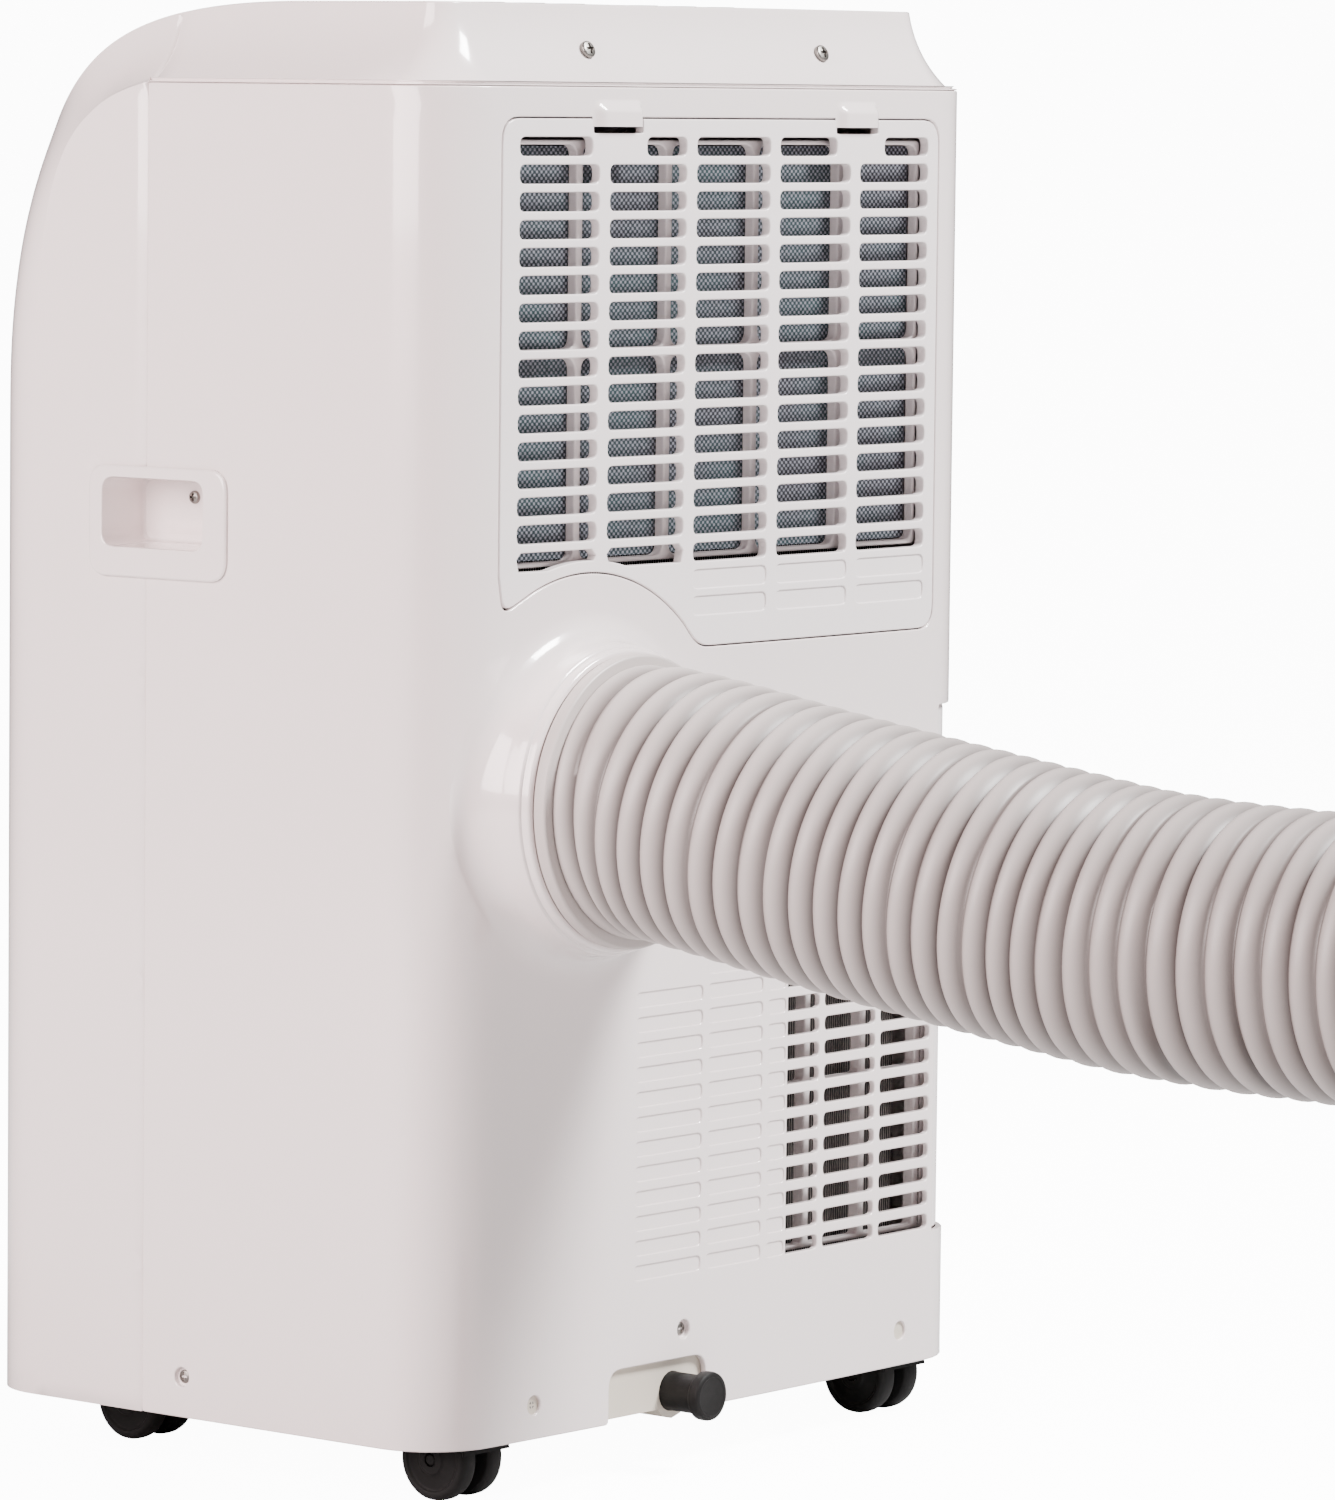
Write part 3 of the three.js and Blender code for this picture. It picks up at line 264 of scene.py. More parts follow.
def soften(points, radius, steps=5, closed=True):
    """A flat outline whose corners are rounded: each is a quadratic curve between the points that lie the radius
    before and after it on its two edges."""
    p = np.asarray(points, float)
    reach = np.broadcast_to(np.asarray(radius, float), len(p)).copy()
    back, ahead = np.roll(p, 1, 0) - p, np.roll(p, -1, 0) - p
    shortest = np.minimum(np.linalg.norm(back, axis=1), np.linalg.norm(ahead, axis=1))
    reach = np.minimum(reach, 0.49 * shortest)
    if not closed:
        reach[[0, -1]] = 0
    a, b = p + norm(back) * reach[:, None], p + norm(ahead) * reach[:, None]
    t = np.linspace(0, 1, steps + 1)[None, :, None]
    curve = ((1 - t) ** 2 * a[:, None] + 2 * t * (1 - t) * p[:, None] + t ** 2 * b[:, None]).reshape(-1, 2)
    keep = np.linalg.norm(curve - np.roll(curve, 1, 0), axis=1) > 1e-4
    if not closed:
        keep[0] = True
    return curve[keep]


dress("window_nozzle", plain_duct)

# ---- Rear housing
# One injection moulding in glossy warm white ABS: the back, both sides as far as the seam, the duct collar's flare
# and the lower grille. It hangs on the base pan by screws and clips to the front shell along the side seams.
shell_white = plastic_finish("shell_white", (0.86, 0.765, 0.755), 0.2, grain=1700.0, depth=0.045, mottle=0.012,
                             coat=0.9)
half_width, rear_y, seam_z, seam_y = 207.0, 156.0, 668.0, -36.0
back_half, back_drop, corner_run, corner_y, seam_gap = 170.0, 2.6, 56.0, 117, 0.15
side_zero = back_half + corner_run + corner_y
side_reach = side_zero - seam_y - seam_gap
handle_low, handle_high = 443.6, 481.4
collar_x, collar_z = 105.0, 332.0


def casing_wall(uv):
    """The rear housing's outer face. u runs along its outline from the middle of the back and v is the height: the
    back is a shallow parabola, the corner a cubic Bezier curve with the same slope, and the side is straight."""
    u, v = uv[..., 0], uv[..., 1]
    s = np.abs(u)
    t = np.clip((s - back_half) / corner_run, 0, 1)
    slope = 2 * back_drop / back_half
    ends = ((back_half, rear_y - back_drop), (back_half + 20.5, rear_y - back_drop - 20.5 * slope),
            (half_width, corner_y + 19.8), (half_width, corner_y))
    weights = ((1 - t) ** 3, 3 * t * (1 - t) ** 2, 3 * t ** 2 * (1 - t), t ** 3)
    x, y = (sum(w * end[i] for w, end in zip(weights, ends)) for i in range(2))
    x = np.where(s < back_half, s, x)
    y = np.where(s < back_half, rear_y - back_drop * (s / back_half) ** 2, y)
    return np.stack([np.sign(u) * x, y - np.maximum(s - back_half - corner_run, 0), v], -1)


def set_in(form, uv, depth, facing=1):
    """Points of a form moved inwards along its normal, which is the cross product of its two slopes."""
    step = 0.05
    along = form(uv + (step, 0)) - form(uv - (step, 0))
    across = form(uv + (0, step)) - form(uv - (0, step))
    return form(uv) + facing * depth * norm(np.cross(along, across))


def divide(loop, step):
    """A closed outline with points added so that no edge is longer than the step."""
    ahead = np.roll(loop, -1, 0) - loop
    count = np.ceil(np.linalg.norm(ahead, axis=1) / step).astype(int).clip(1)
    start = np.repeat(np.arange(len(loop)), count)
    part = (np.arange(count.sum()) - np.repeat(np.cumsum(count) - count, count)) / count[start]
    return loop[start] + part[:, None] * ahead[start]


def shift(loop, distance):
    """A closed outline moved to the left of its own direction."""
    ahead = np.roll(loop, -1, 0) - np.roll(loop, 1, 0)
    return loop + distance * norm(np.stack([-ahead[:, 1], ahead[:, 0]], -1))


def inside(points, loops):
    """Whether each point lies inside an odd number of outlines: a ray to its right crosses their edges an odd
    number of times."""
    odd = np.zeros(len(points), bool)
    for loop in loops:
        near = np.flatnonzero(((points >= loop.min(0)) & (points <= loop.max(0))).all(1))
        a, b, p = loop, np.roll(loop, -1, 0), points[near][:, None]
        crosses = (a[:, 1] > p[..., 1]) != (b[:, 1] > p[..., 1])
        rise = np.where(np.abs(b[:, 1] - a[:, 1]) < 1e-9, 1e-9, b[:, 1] - a[:, 1])
        at = a[:, 0] + (p[..., 1] - a[:, 1]) / rise * (b[:, 0] - a[:, 0])
        odd[near] ^= (crosses & (p[..., 0] < at)).sum(1) % 2 == 1
    return odd


def fill(loops, step):
    """Points and triangles that fill outlines less their holes: an even grid of points, those next to an outline
    left out, joined with the outlines by Delaunay's rule."""
    edge = np.concatenate(loops)
    low = edge.min(0) - step / 2
    size = np.ceil((edge.max(0) - low) / step).astype(int) + 1
    taken = np.zeros(size, bool)
    taken[tuple(((edge - low) / step).astype(int).T)] = True
    cells = np.argwhere(~taken)
    inner = low + (cells + 0.5) * step
    inner = inner[inside(inner, loops)]
    points = np.concatenate([edge, inner])
    first = np.cumsum([0] + [len(loop) for loop in loops])
    edges = np.concatenate([np.stack([np.arange(n), (np.arange(n) + 1) % n], -1) + start
                            for start, n in zip(first, map(len, loops))])
    made = delaunay_2d_cdt([Vector(p) for p in points.tolist()], edges.tolist(), [], 0, 1e-5, True)
    origin = np.array([ids[0] for ids in made[3]])
    triangles = origin[np.array(made[2])]
    return points, triangles[inside(points[triangles].mean(1), loops)]


def moulded_wall(form, outline, cuts=(), pits=(), step=7.0, wall=3.0, lip=0.8, facing=1, plain=()):
    """A moulded wall laid on a form: an outline, cuts through it, pits pressed into it (loop, depth) and plain cuts
    whose edge another surface continues. Every edge is rounded: the offset follows one less the sine and the depth
    one less the cosine of a quarter turn, and then it goes straight back through the wall."""
    loops = [(divide(outline, step), lip, wall, 0.0, False)]
    loops += [(divide(loop, step)[::-1], lip, wall, 0.0, False) for loop in cuts]
    loops += [(divide(loop, step)[::-1], lip, depth, 1.8 if depth > wall else 0.0, True) for loop, depth in pits]
    loops += [(divide(loop, step)[::-1], 0.0, 0.0, 0.0, False) for loop in plain]
    faces_at = [shift(loop, round_off) for loop, round_off, *_ in loops]
    points, triangles = fill(faces_at, step)
    back = points.copy()
    count = sum(len(loop) for loop, *_ in loops)
    back[:count] = np.concatenate([shift(loop, spread) for loop, _, _, spread, _ in loops])
    nets = [(set_in(form, points, 0, facing), triangles), (set_in(form, back, wall, facing), triangles[:, ::-1])]
    turn = np.radians((0, 25, 50, 70, 90))
    for loop, round_off, depth, spread, closed in loops:
        if round_off:
            rows = [set_in(form, shift(loop, round_off * (1 - np.sin(a))), round_off * (1 - np.cos(a)), facing)
                    for a in turn]
            rows.append(set_in(form, loop, depth, facing))
            nets.append(grid(np.array(rows), wrap_cols=True))
        if closed:
            floor, floor_faces = fill([loop], step)
            nets.append((set_in(form, floor, depth, facing), floor_faces))
            floor[:len(loop)] = shift(loop, spread)
            nets.append((set_in(form, floor, max(wall, depth + spread), facing), floor_faces))
            if spread:
                nets.append(grid(np.array([set_in(form, shift(loop, spread), d, facing)
                                           for d in (wall, depth + spread)]), wrap_cols=True))
    return nets


def slot_loop(x0, x1, z0, z1, r, steps=5):
    """A rounded rectangle, counter-clockwise."""
    return soften([(x0, z0), (x1, z0), (x1, z1), (x0, z1)], r, steps)


def circle(x, z, r, count):
    """A circle of points, counter-clockwise."""
    turn = np.linspace(0, 2 * np.pi, count, endpoint=False)
    return np.stack([x + r * np.cos(turn), z + r * np.sin(turn)], -1)


def filter_outline(grow, notch_drop=0.0):
    """The upper filter cover's outline: a rectangle whose lower left follows the hump round the duct collar, with two
    shallow notches in its top edge under the finger tabs."""
    right, left, top, bottom, r = 168.5 + grow, -167 - grow, 653 + grow, 400 - grow, 107 - grow
    foot = collar_x - np.sqrt(r ** 2 - (bottom - collar_z) ** 2)
    arc = np.linspace(np.arccos(-(collar_x - foot) / r) - 0.09, np.arccos((right - 11 - collar_x) / r), 40)
    hump = np.stack([collar_x + r * np.cos(arc), collar_z + r * np.sin(arc)], -1)
    end_z = hump[-1, 1] - 3
    lower = soften([(left, top - 30), (left, bottom), (foot, bottom), tuple(hump[2])], (0, 12, 12, 0), 6, closed=False)
    toe = soften([tuple(hump[-3]), (right - 3, end_z), (right, end_z + 18)], (0, 9, 0), 5, closed=False)
    notch = [(x, z) for x0, x1 in ((104 + grow, 68 - grow), (-82 + grow, -116 - grow))
             for x, z in ((x0, top), (x0, top - notch_drop), (x1, top - notch_drop), (x1, top))]
    upper = [(right, end_z + 18), (right, top), *(notch if notch_drop else ()), (left, top), (left, top - 30)]
    upper = soften(upper, (0, 12, *([1.2] * (8 if notch_drop else 0)), 12, 0), 5, closed=False)
    return np.concatenate([lower[:-1], hump[2:-3], toe[:-1], upper[:-1]])


rows_low = 99.2 + 12.03 * np.arange(13)
low_slots = [slot_loop(-76.7, -51.3, z - 3.5, z + 3.5, (2.9, 0.5, 0.5, 2.9)) for z in rows_low]
low_slots += [slot_loop(x - 41.8, x, z - 3.5, z + 3.5, 2.9) for x in (-81.4, -127.9) for z in rows_low]
blind_slots = [(slot_loop(x0, x1, z - 3.4, z + 3.4, 2.6, 3), 0.7)
               for x0, x1 in ((16.2, 66.0), (-30.8, 11.5), (-49.4, -35.2)) for z in rows_low]
blind_slots = [pit for pit in blind_slots if pit[0][:, 1].max() < 243 or pit[0][:, 0].max() < 60]
screw_places = [(28.2, 68), (-147.5, 45.8), (138.6, 44.5)]
side_screw_u = side_zero + 10
screw_wells = [(circle(x, z, 4.6, 24), 2.6) for x, z in screw_places]
screw_wells += [(circle(side * side_screw_u, 47.7, 4.6, 24), 2.6) for side in (1, -1)]
reach, strip_in = side_reach, back_half + 4.2
handle_edge = side_zero - 4.4
housing_outline = soften(
    [(-reach, 28), (11, 28), (11, 54), (84, 54), (84, 28), (reach, 28), (reach, handle_low),
     (handle_edge, handle_low), (handle_edge, handle_high), (reach, handle_high), (reach, 667.85), (-reach, 667.85),
     (-reach, handle_high), (-handle_edge, handle_high), (-handle_edge, handle_low), (-reach, handle_low)],
    (1.6, 2.5, 9, 9, 2.5) + (1.6,) * 11, 5)
strip_out = back_half + corner_run - 1.8
strip_opening = slot_loop(-strip_out, -strip_in, 93.6, 360.4, 1.2, 3)
flare = circle(collar_x, collar_z, 89.0, 128)
housing_nets = moulded_wall(casing_wall, housing_outline, [filter_outline(0.7), strip_opening, *low_slots],
                            blind_slots + screw_wells, plain=[flare])
# The collar: from the back it hollows out into a ring by a quarter ellipse, with a step and a bored inside.
flare_edge = divide(flare, 7.0)
lean = np.linspace(0, np.pi / 2, 15)[:, None, None]
ring_turn = norm(flare_edge - (collar_x, collar_z))


def collar_ring(r, y):
    """A circle about the collar's axis at one distance back."""
    return np.stack([collar_x + r * ring_turn[:, 0], y + 0 * ring_turn[:, 0], collar_z + r * ring_turn[:, 1]], -1)


foot_ring, rim_ring = casing_wall(flare_edge), collar_ring(74.6, 168)
ease = np.array([1, 0, 1]) * np.sin(lean) + np.array([0, 1, 0]) * (1 - np.cos(lean))
flare_rows = foot_ring + (rim_ring - foot_ring) * ease
collar_rows = [collar_ring(r, y) for r, y in (
    (74.2, 171), (74, 174.4), (73.4, 175.2), (72.4, 175.6), (72.2, 176.4), (72.2, 178.6), (71.6, 179.6), (70.6, 180),
    (69.4, 180), (69, 179.6), (69, 153))]
collar_rows.append(set_in(casing_wall, flare_edge, 3))
housing_nets.append(grid(np.concatenate([flare_rows, np.array(collar_rows)]), wrap_cols=True))


def finger_tab(x0, x1):
    """A snap tab over the filter cover: its height off the back is a smooth step in from each side times a smooth
    rise from its root down to its lip, and it ends in a square edge."""
    u, v = np.meshgrid(np.linspace(0, 1, 28), np.linspace(0, 1, 22), indexing="ij")
    side = np.clip(np.minimum(u / 0.22, (1 - u) / 0.1), 0, 1)
    rise = np.clip(v / 0.5, 0, 1)
    proud = 3.4 * (side ** 2 * (3 - 2 * side)) * (rise ** 2 * (3 - 2 * rise))
    x, z = x0 + (x1 - x0) * u, 662.5 - 13.2 * v
    base = casing_wall(np.stack([x, z], -1))
    face = base + np.stack([0 * x, proud, 0 * x], -1) - (0, 0.05, 0)
    lip = np.stack([face[:, -1], face[:, -1] * (1, 0, 1) + (0, 150.5, 0)], 1)
    return [grid(face), grid(lip)]


housing_nets += finger_tab(105.5, 69.5) + finger_tab(-80.5, -114.5)
piece("rear_housing_shell", housing_nets, shell_white, "cabinet", ["rear_housing"])

# ---- Duct connector
# A grey ring that screws into the collar's bore; its outer lip holds the hose, with a crossed finger guard inside.


def turned(profile, place, axis, sides=64):
    """A profile of (radius, distance) pairs turned about an axis through a place; radii of zero close the ends."""
    r, h = np.asarray(profile, float).T
    angle = np.linspace(0, 2 * np.pi, sides, endpoint=False)
    round_about = np.stack([r[:, None] * np.cos(angle), r[:, None] * np.sin(angle), h[:, None] + 0 * angle], -1)
    order = {"x": (2, 0, 1), "y": (1, 2, 0), "z": (0, 1, 2)}[axis]
    return grid(round_about[..., order] + place, wrap_cols=True)


def bar(x0, x1, y0, y1, z0, z1, r=0.6):
    """A straight bar with rounded long edges and flat chamfered ends: a rounded section carried along X, Y or Z,
    whichever is longest, drawn in by the radius at both ends."""
    low, high = np.array([x0, y0, z0], float), np.array([x1, y1, z1], float)
    axis = int(np.argmax(high - low))
    a, b = [i for i in range(3) if i != axis]
    r = min(r, 0.45 * (high - low)[[a, b]].min())
    loop = soften([(low[a], low[b]), (high[a], low[b]), (high[a], high[b]), (low[a], high[b])], 1.8 * r, 3)
    middle = loop.mean(0)
    rows = []
    for at, pull in ((low[axis], 1e9), (low[axis], r), (low[axis] + r, 0), (high[axis] - r, 0), (high[axis], r),
                     (high[axis], 1e9)):
        section = middle + (loop - middle) * (1 - np.minimum(pull / np.abs(loop - middle).max(0), 1))
        row = np.zeros((len(loop), 3))
        row[:, a], row[:, b], row[:, axis] = section[:, 0], section[:, 1], at
        rows.append(row)
    return grid(np.array(rows), wrap_cols=True)


guard_bars = [bar(42, 168, 182.9, 187.2, 330.6, 333.4), bar(103.6, 106.4, 182.9, 187.2, 269, 395)]
connector = [turned([(61, -34), (68.4, -34), (68.6, -33), (68.6, 24.4), (69.6, 24.9), (70, 25.6), (70, 30.4),
                     (69.4, 31.3), (68.4, 31.7), (62, 31.7), (61, 30.8), (61, -34)],
                    (collar_x, rear_y, collar_z), "y", 128),
             turned([(0, 26.8), (11.4, 26.8), (12, 27.4), (12, 31), (11.2, 31.7), (0, 32)],
                    (collar_x, rear_y, collar_z), "y", 40), *guard_bars]
piece("duct_connector_ring", connector, plain_duct, "cabinet", ["hose_connector"])

# ---- Upper filter cover
# A flat grille moulding that drops into the back on two feet and snaps under the tabs; it carries the filter.
grille_white = plastic_finish("grille_white", (0.84, 0.77, 0.768), 0.25, grain=1500.0, depth=0.05, mottle=0.01,
                              coat=0.2)


def back_plane(uv):
    """The back's outer face: x across and z up on the same shallow parabola as the housing."""
    x, z = uv[..., 0], uv[..., 1]
    return np.stack([x, rear_y - back_drop * (x / back_half) ** 2, z], -1)


cover_slots, cover_pits = [], []
slot_width, slot_height, column_pitch, row_pitch = 56.6, 9, 64.5, 12.97
slot_rights = 156.3 - column_pitch * np.arange(5)
for row, top in enumerate(644.4 - row_pitch * np.arange(16)):
    for column, right in enumerate(slot_rights):
        left = right - slot_width
        if row == 0:
            left, right = [(104.7, right), (left, 64.8), (left, right), (-82.6, right), (left, -121.7)][column]
        if row < 15 or column > 1:
            cover_slots.append(slot_loop(left, right, top - slot_height, top, 3.7))
            continue
        # The lowest slots over the duct end along an arc about the collar.
        across = np.linspace(left + 1.5, right - 1.5, 30)
        low_edge = collar_z + np.sqrt(np.maximum(112.5 ** 2 - (across - collar_x) ** 2, 0))
        low_edge = np.clip(low_edge, top - slot_height, top - 2.2)
        over = [(right, top - 3), (right - 3, top), (left + 3, top), (left, top - 3)]
        cover_slots.append(np.concatenate([np.stack([across, low_edge], -1), over]))
for top in (436.8, 423.9):
    cover_pits += [(slot_loop(right - slot_width, right, top - 8.9, top, 3.4, 3), 0.7) for right in slot_rights[2:]]
cover_nets = moulded_wall(back_plane, filter_outline(0, 6.8), cover_slots, cover_pits, wall=4.9, lip=0.7, step=8.0)
piece("filter_cover_grille", cover_nets, grille_white, "filter_cover", ["filter_cover"])

# ---- Filter frame, net and coils
# A white snap-in frame of five bays holds a woven nylon net behind the grille; the coated fins stand behind it.


def pane_frame(x_edges, z_edges, rib, y0, y1, round_r):
    """A frame of bars: the rectangle between its outer edges less one rounded opening for each bay, as a wall
    pressed between two depths."""
    outline = slot_loop(x_edges[0], x_edges[-1], z_edges[0], z_edges[-1], 3)
    bays = [slot_loop(x0 + rib, x1 - rib, z0 + rib, z1 - rib, round_r, 6)
            for x0, x1 in zip(x_edges[:-1], x_edges[1:]) for z0, z1 in zip(z_edges[:-1], z_edges[1:])]
    flat = lambda uv: np.stack([uv[..., 0], y1 + 0 * uv[..., 0], uv[..., 1]], -1)
    return moulded_wall(flat, outline, bays, wall=y1 - y0, lip=0.9, step=20)


frame_x = np.array([-160, -96.5, -29.5, 37.5, 104.5, 161.5])
piece("filter_frame_ribs", pane_frame(frame_x, np.array([442.0, 542.3, 643.0]), 2.3, 142, 147, 6.5), grille_white,
      "filter_cover", ["filter_frame"])


def pattern_base(name):
    """A new material with its Object coordinates and their axes."""
    made, tree, shader = nodes_of(name)
    place = add(tree, "ShaderNodeTexCoord").outputs["Object"]
    return made, tree, shader, place, add(tree, "ShaderNodeSeparateXYZ", {0: place})


def wave_along(tree, axes, axis, pitch):
    """A sine wave along one axis with a pitch in metres."""
    phase = add(tree, "ShaderNodeMath", {0: axes.outputs[axis], 1: 2 * np.pi / pitch}, operation="MULTIPLY")
    return add(tree, "ShaderNodeMath", {0: phase.outputs[0]}, operation="SINE").outputs[0]


def pattern_finish(tree, shader, height, mask, low, high, strength, depth, roughness, metallic=0.0):
    """Blends two colours by a mask into the base colour and feeds a height to the bump."""
    color = add(tree, "ShaderNodeMix", {"Factor": mask, 6: low, 7: high}, data_type="RGBA")
    bump = add(tree, "ShaderNodeBump", {"Height": height, "Strength": strength, "Distance": depth})
    feed(tree, shader, {"Base Color": color.outputs[2], "Normal": bump.outputs[0], "Roughness": roughness,
                        "Metallic": metallic})


# Woven net: two sets of threads cross as sine waves; the gaps between them are painted near black as the shade of the
# inside seen through them, and that painted shade drifts in tone in patches.
net_cloth, net_tree, net_shader, net_place, net_axes = pattern_base("woven_net")
weave = add(net_tree, "ShaderNodeMath", {0: wave_along(net_tree, net_axes, "X", 0.0034),
                                         1: wave_along(net_tree, net_axes, "Z", 0.0030)}, operation="MULTIPLY")
drift = add(net_tree, "ShaderNodeTexNoise", {"Vector": net_place, "Scale": 23.0, "Detail": 5.0})
frayed = add(net_tree, "ShaderNodeTexNoise", {"Vector": net_place, "Scale": 900.0, "Detail": 2.0})
loose = add(net_tree, "ShaderNodeMath", {0: weave.outputs[0], 1: frayed.outputs["Fac"]}, operation="ADD")
thread_mask = add(net_tree, "ShaderNodeMapRange", {"Value": loose.outputs[0], "From Min": 0.35, "From Max": 1.1})
# Painted shade: the colour between the threads, dark as the shaded inside seen through the net.
net_gap_painted_shade = add(net_tree, "ShaderNodeValToRGB", {"Fac": drift.outputs["Fac"]})
net_gap_painted_shade.color_ramp.elements[0].position, net_gap_painted_shade.color_ramp.elements[1].position = 0.35, 0.65
net_gap_painted_shade.color_ramp.elements[0].color = (0.008, 0.010, 0.016, 1)
net_gap_painted_shade.color_ramp.elements[1].color = (0.012, 0.040, 0.044, 1)
pattern_finish(net_tree, net_shader, loose.outputs[0], thread_mask.outputs[0], net_gap_painted_shade.outputs["Color"],
               (0.25, 0.255, 0.30, 1), 0.5, 0.0004, 0.75)
dress("filter_mesh", net_cloth)

# Coil fins: thin coated aluminium plates on a 1.8 mm pitch, seen as fine upright bars with dull, uneven edges; the gaps
# between the plates are painted dark as shade, and a dirt noise dulls the edges unevenly.
fin_metal, fin_tree, fin_shader, fin_place, fin_axes = pattern_base("coil_fins")
fin_wave = wave_along(fin_tree, fin_axes, "X", 0.0018)
fin_dirt = add(fin_tree, "ShaderNodeTexNoise", {"Vector": fin_place, "Scale": 60.0, "Detail": 6.0})
# Painted shade: the dark part of the wave stands for the shade between the plates; the noise is dirt on their edges.
fin_gap_shade = add(fin_tree, "ShaderNodeMapRange", {"Value": fin_wave, "From Min": -0.6, "From Max": 0.9})
fin_gap_shade_and_dirt = add(fin_tree, "ShaderNodeMath", {0: fin_gap_shade.outputs[0], 1: fin_dirt.outputs["Fac"]}, operation="MULTIPLY")
pattern_finish(fin_tree, fin_shader, fin_wave, fin_gap_shade_and_dirt.outputs[0], (0.022, 0.020, 0.020, 1), (0.42, 0.38, 0.36, 1),
               0.8, 0.0008, 0.5, 0.35)
dress("evaporator_coil", fin_metal)
dress("condenser_coil", fin_metal)

# ---- Lower filter
# A slide-out filter panel; its curved end strip closes the casing's corner, set back 4 mm as a finger grip.
low_x, low_z = np.array([-176, -170, -125, -80, -35, -29.5]), np.array([94.6, 176, 260, 358.4])
low_frame = pane_frame(low_x, low_z, 2.3, 139.5, 145.5, 3)
strip_turn = np.radians(np.linspace(90, 180, 22))
strip_z = np.array([94, 94.6, 96, 200, 300, 358, 359.4, 360])
strip_pull = np.array([1.2, 0.4, 0, 0, 0, 0, 0.4, 1.2])


def corner_strip(r, pull):
    """A quarter cylinder up the casing's corner, drawn in at both ends by the pull."""
    radius = (r - pull)[:, None]
    return np.stack([-170 + radius * np.cos(strip_turn), 119 + radius * np.sin(strip_turn) - 1.6,
                     strip_z[:, None] + 0 * strip_turn], -1)


strip_points = np.concatenate([corner_strip(33, strip_pull), corner_strip(30.4, 0 * strip_pull)[::-1]])
strip_grip = bar(-199.5, -198.0, 128, 134, 200, 250, 0.5)
piece("lower_filter_panel", [*low_frame, grid(strip_points, wrap_rows=True), strip_grip], grille_white, "lower_filter",
      ["lower_filter"])

# ---- Top cover
# A separate moulding: a narrow ledge, a hollow cove all round and a flat top, held by two screws through the cove.
sweep_t = np.linspace(0, 1, 400)[:, None]
sweep_points = ((1 - sweep_t) ** 3 * (-148, 508) + 3 * sweep_t * (1 - sweep_t) ** 2 * (-148, 668)
                + 3 * sweep_t ** 2 * (1 - sweep_t) * (-106, 706) + sweep_t ** 3 * (36, 707))


def top_height(y):
    """The height of the top along Y: level at the rear, then the sweep's Bezier curve down to the front."""
    return np.interp(y, sweep_points[:, 0], sweep_points[:, 1])


def casing_plan(u, inset):
    """The casing's outline in plan at a distance in from the outer face."""
    return set_in(casing_wall, np.stack([u, 0 * u], -1), inset)[..., :2]


u_side = np.arange(back_half + corner_run, side_reach + 1e-6, (side_reach - back_half - corner_run) / 16)[1:]
u_right = np.concatenate([np.linspace(0, back_half, 25), back_half + corner_run * np.linspace(0, 1, 22)[1:], u_side])
u_rim = np.concatenate([-u_right[:0:-1], u_right])
hollow = np.linspace(0, 1, 14)[:, None]
cove_rows = [(2.6, -0.4), (0.5, 0.25), (0.25, 0.45), (0.3, 0.8), (4.6, 1.25), (5.2, 1.45)]
cove_rows += [tuple(p) for p in ((1 - hollow) ** 2 * (5.6, 1.6) + 2 * hollow * (1 - hollow) * (21, 16.4)
                                 + hollow ** 2 * (24.6, 38.2))]
cove_rows += [(24.75, 38.55), (25.1, 38.85), (25.6, 39.0)]
cove_grid = []
for inset, rise in cove_rows:
    plan = casing_plan(u_rim, inset)
    climb = (rise - seam_gap) * (top_height(plan[:, 1]) - seam_z) / 39
    cove_grid.append(np.column_stack([plan, seam_z + seam_gap + climb]))
rim = cove_grid[-1][:, :2]
front_edge = np.column_stack([np.linspace(rim[-1, 0], rim[0, 0], 40)[1:-1], np.full(38, rim[0, 1])])
deck_outline = np.concatenate([rim, front_edge])


def turned_left(loop):
    """A closed outline put in counter-clockwise order, by the sign of its area."""
    ahead = np.roll(loop, -1, 0)
    return loop if np.sum(loop[:, 0] * ahead[:, 1] - ahead[:, 0] * loop[:, 1]) > 0 else loop[::-1]


deck_outline = turned_left(deck_outline)
panel_recess = slot_loop(-112.3, 112.3, 41.7, 108.3, 6)
recess_loop = divide(panel_recess, 6)
deck_points, deck_faces = fill([deck_outline, recess_loop[::-1]], 7.0)
deck_net = (np.column_stack([deck_points, top_height(deck_points[:, 1])]), deck_faces)
recess_rows = np.array([np.column_stack([recess_loop, np.full(len(recess_loop), z)]) for z in (707, 706.7, 703.2)])
piece("top_cover_shell", [grid(np.array(cove_grid)), deck_net, grid(recess_rows, wrap_cols=True)], shell_white,
      "cabinet", ["top_cover"], wall=2.2, sharp=42)

# ---- Front shell
# The front moulding: upright sides and a bowed front that sweeps back onto the top, with the cove running down both
# shoulders and fading out; it holds the air outlet.
profile = np.concatenate([[(-148, 28)], [(-148, z) for z in np.linspace(29, 500, 34)], sweep_points])
profile = profile[profile[:, 0] <= seam_y - seam_gap]
profile_along = np.concatenate([[0], np.cumsum(np.linalg.norm(np.diff(profile, axis=0), axis=1))])


def front_profile(q):
    """The front's line in Y and Z at a distance along it from the casing's lower edge."""
    return np.stack([np.interp(q, profile_along, profile[:, i]) for i in range(2)], -1)


q_seam = profile_along[-1]


def shoulder_mix(q):
    """How far the shoulder has turned from a round corner (0) to the top's cove (1): a smooth step along the sweep."""
    t = np.clip((q - 500) / (q_seam - 28 - 500), 0, 1)
    return t * t * (3 - 2 * t)


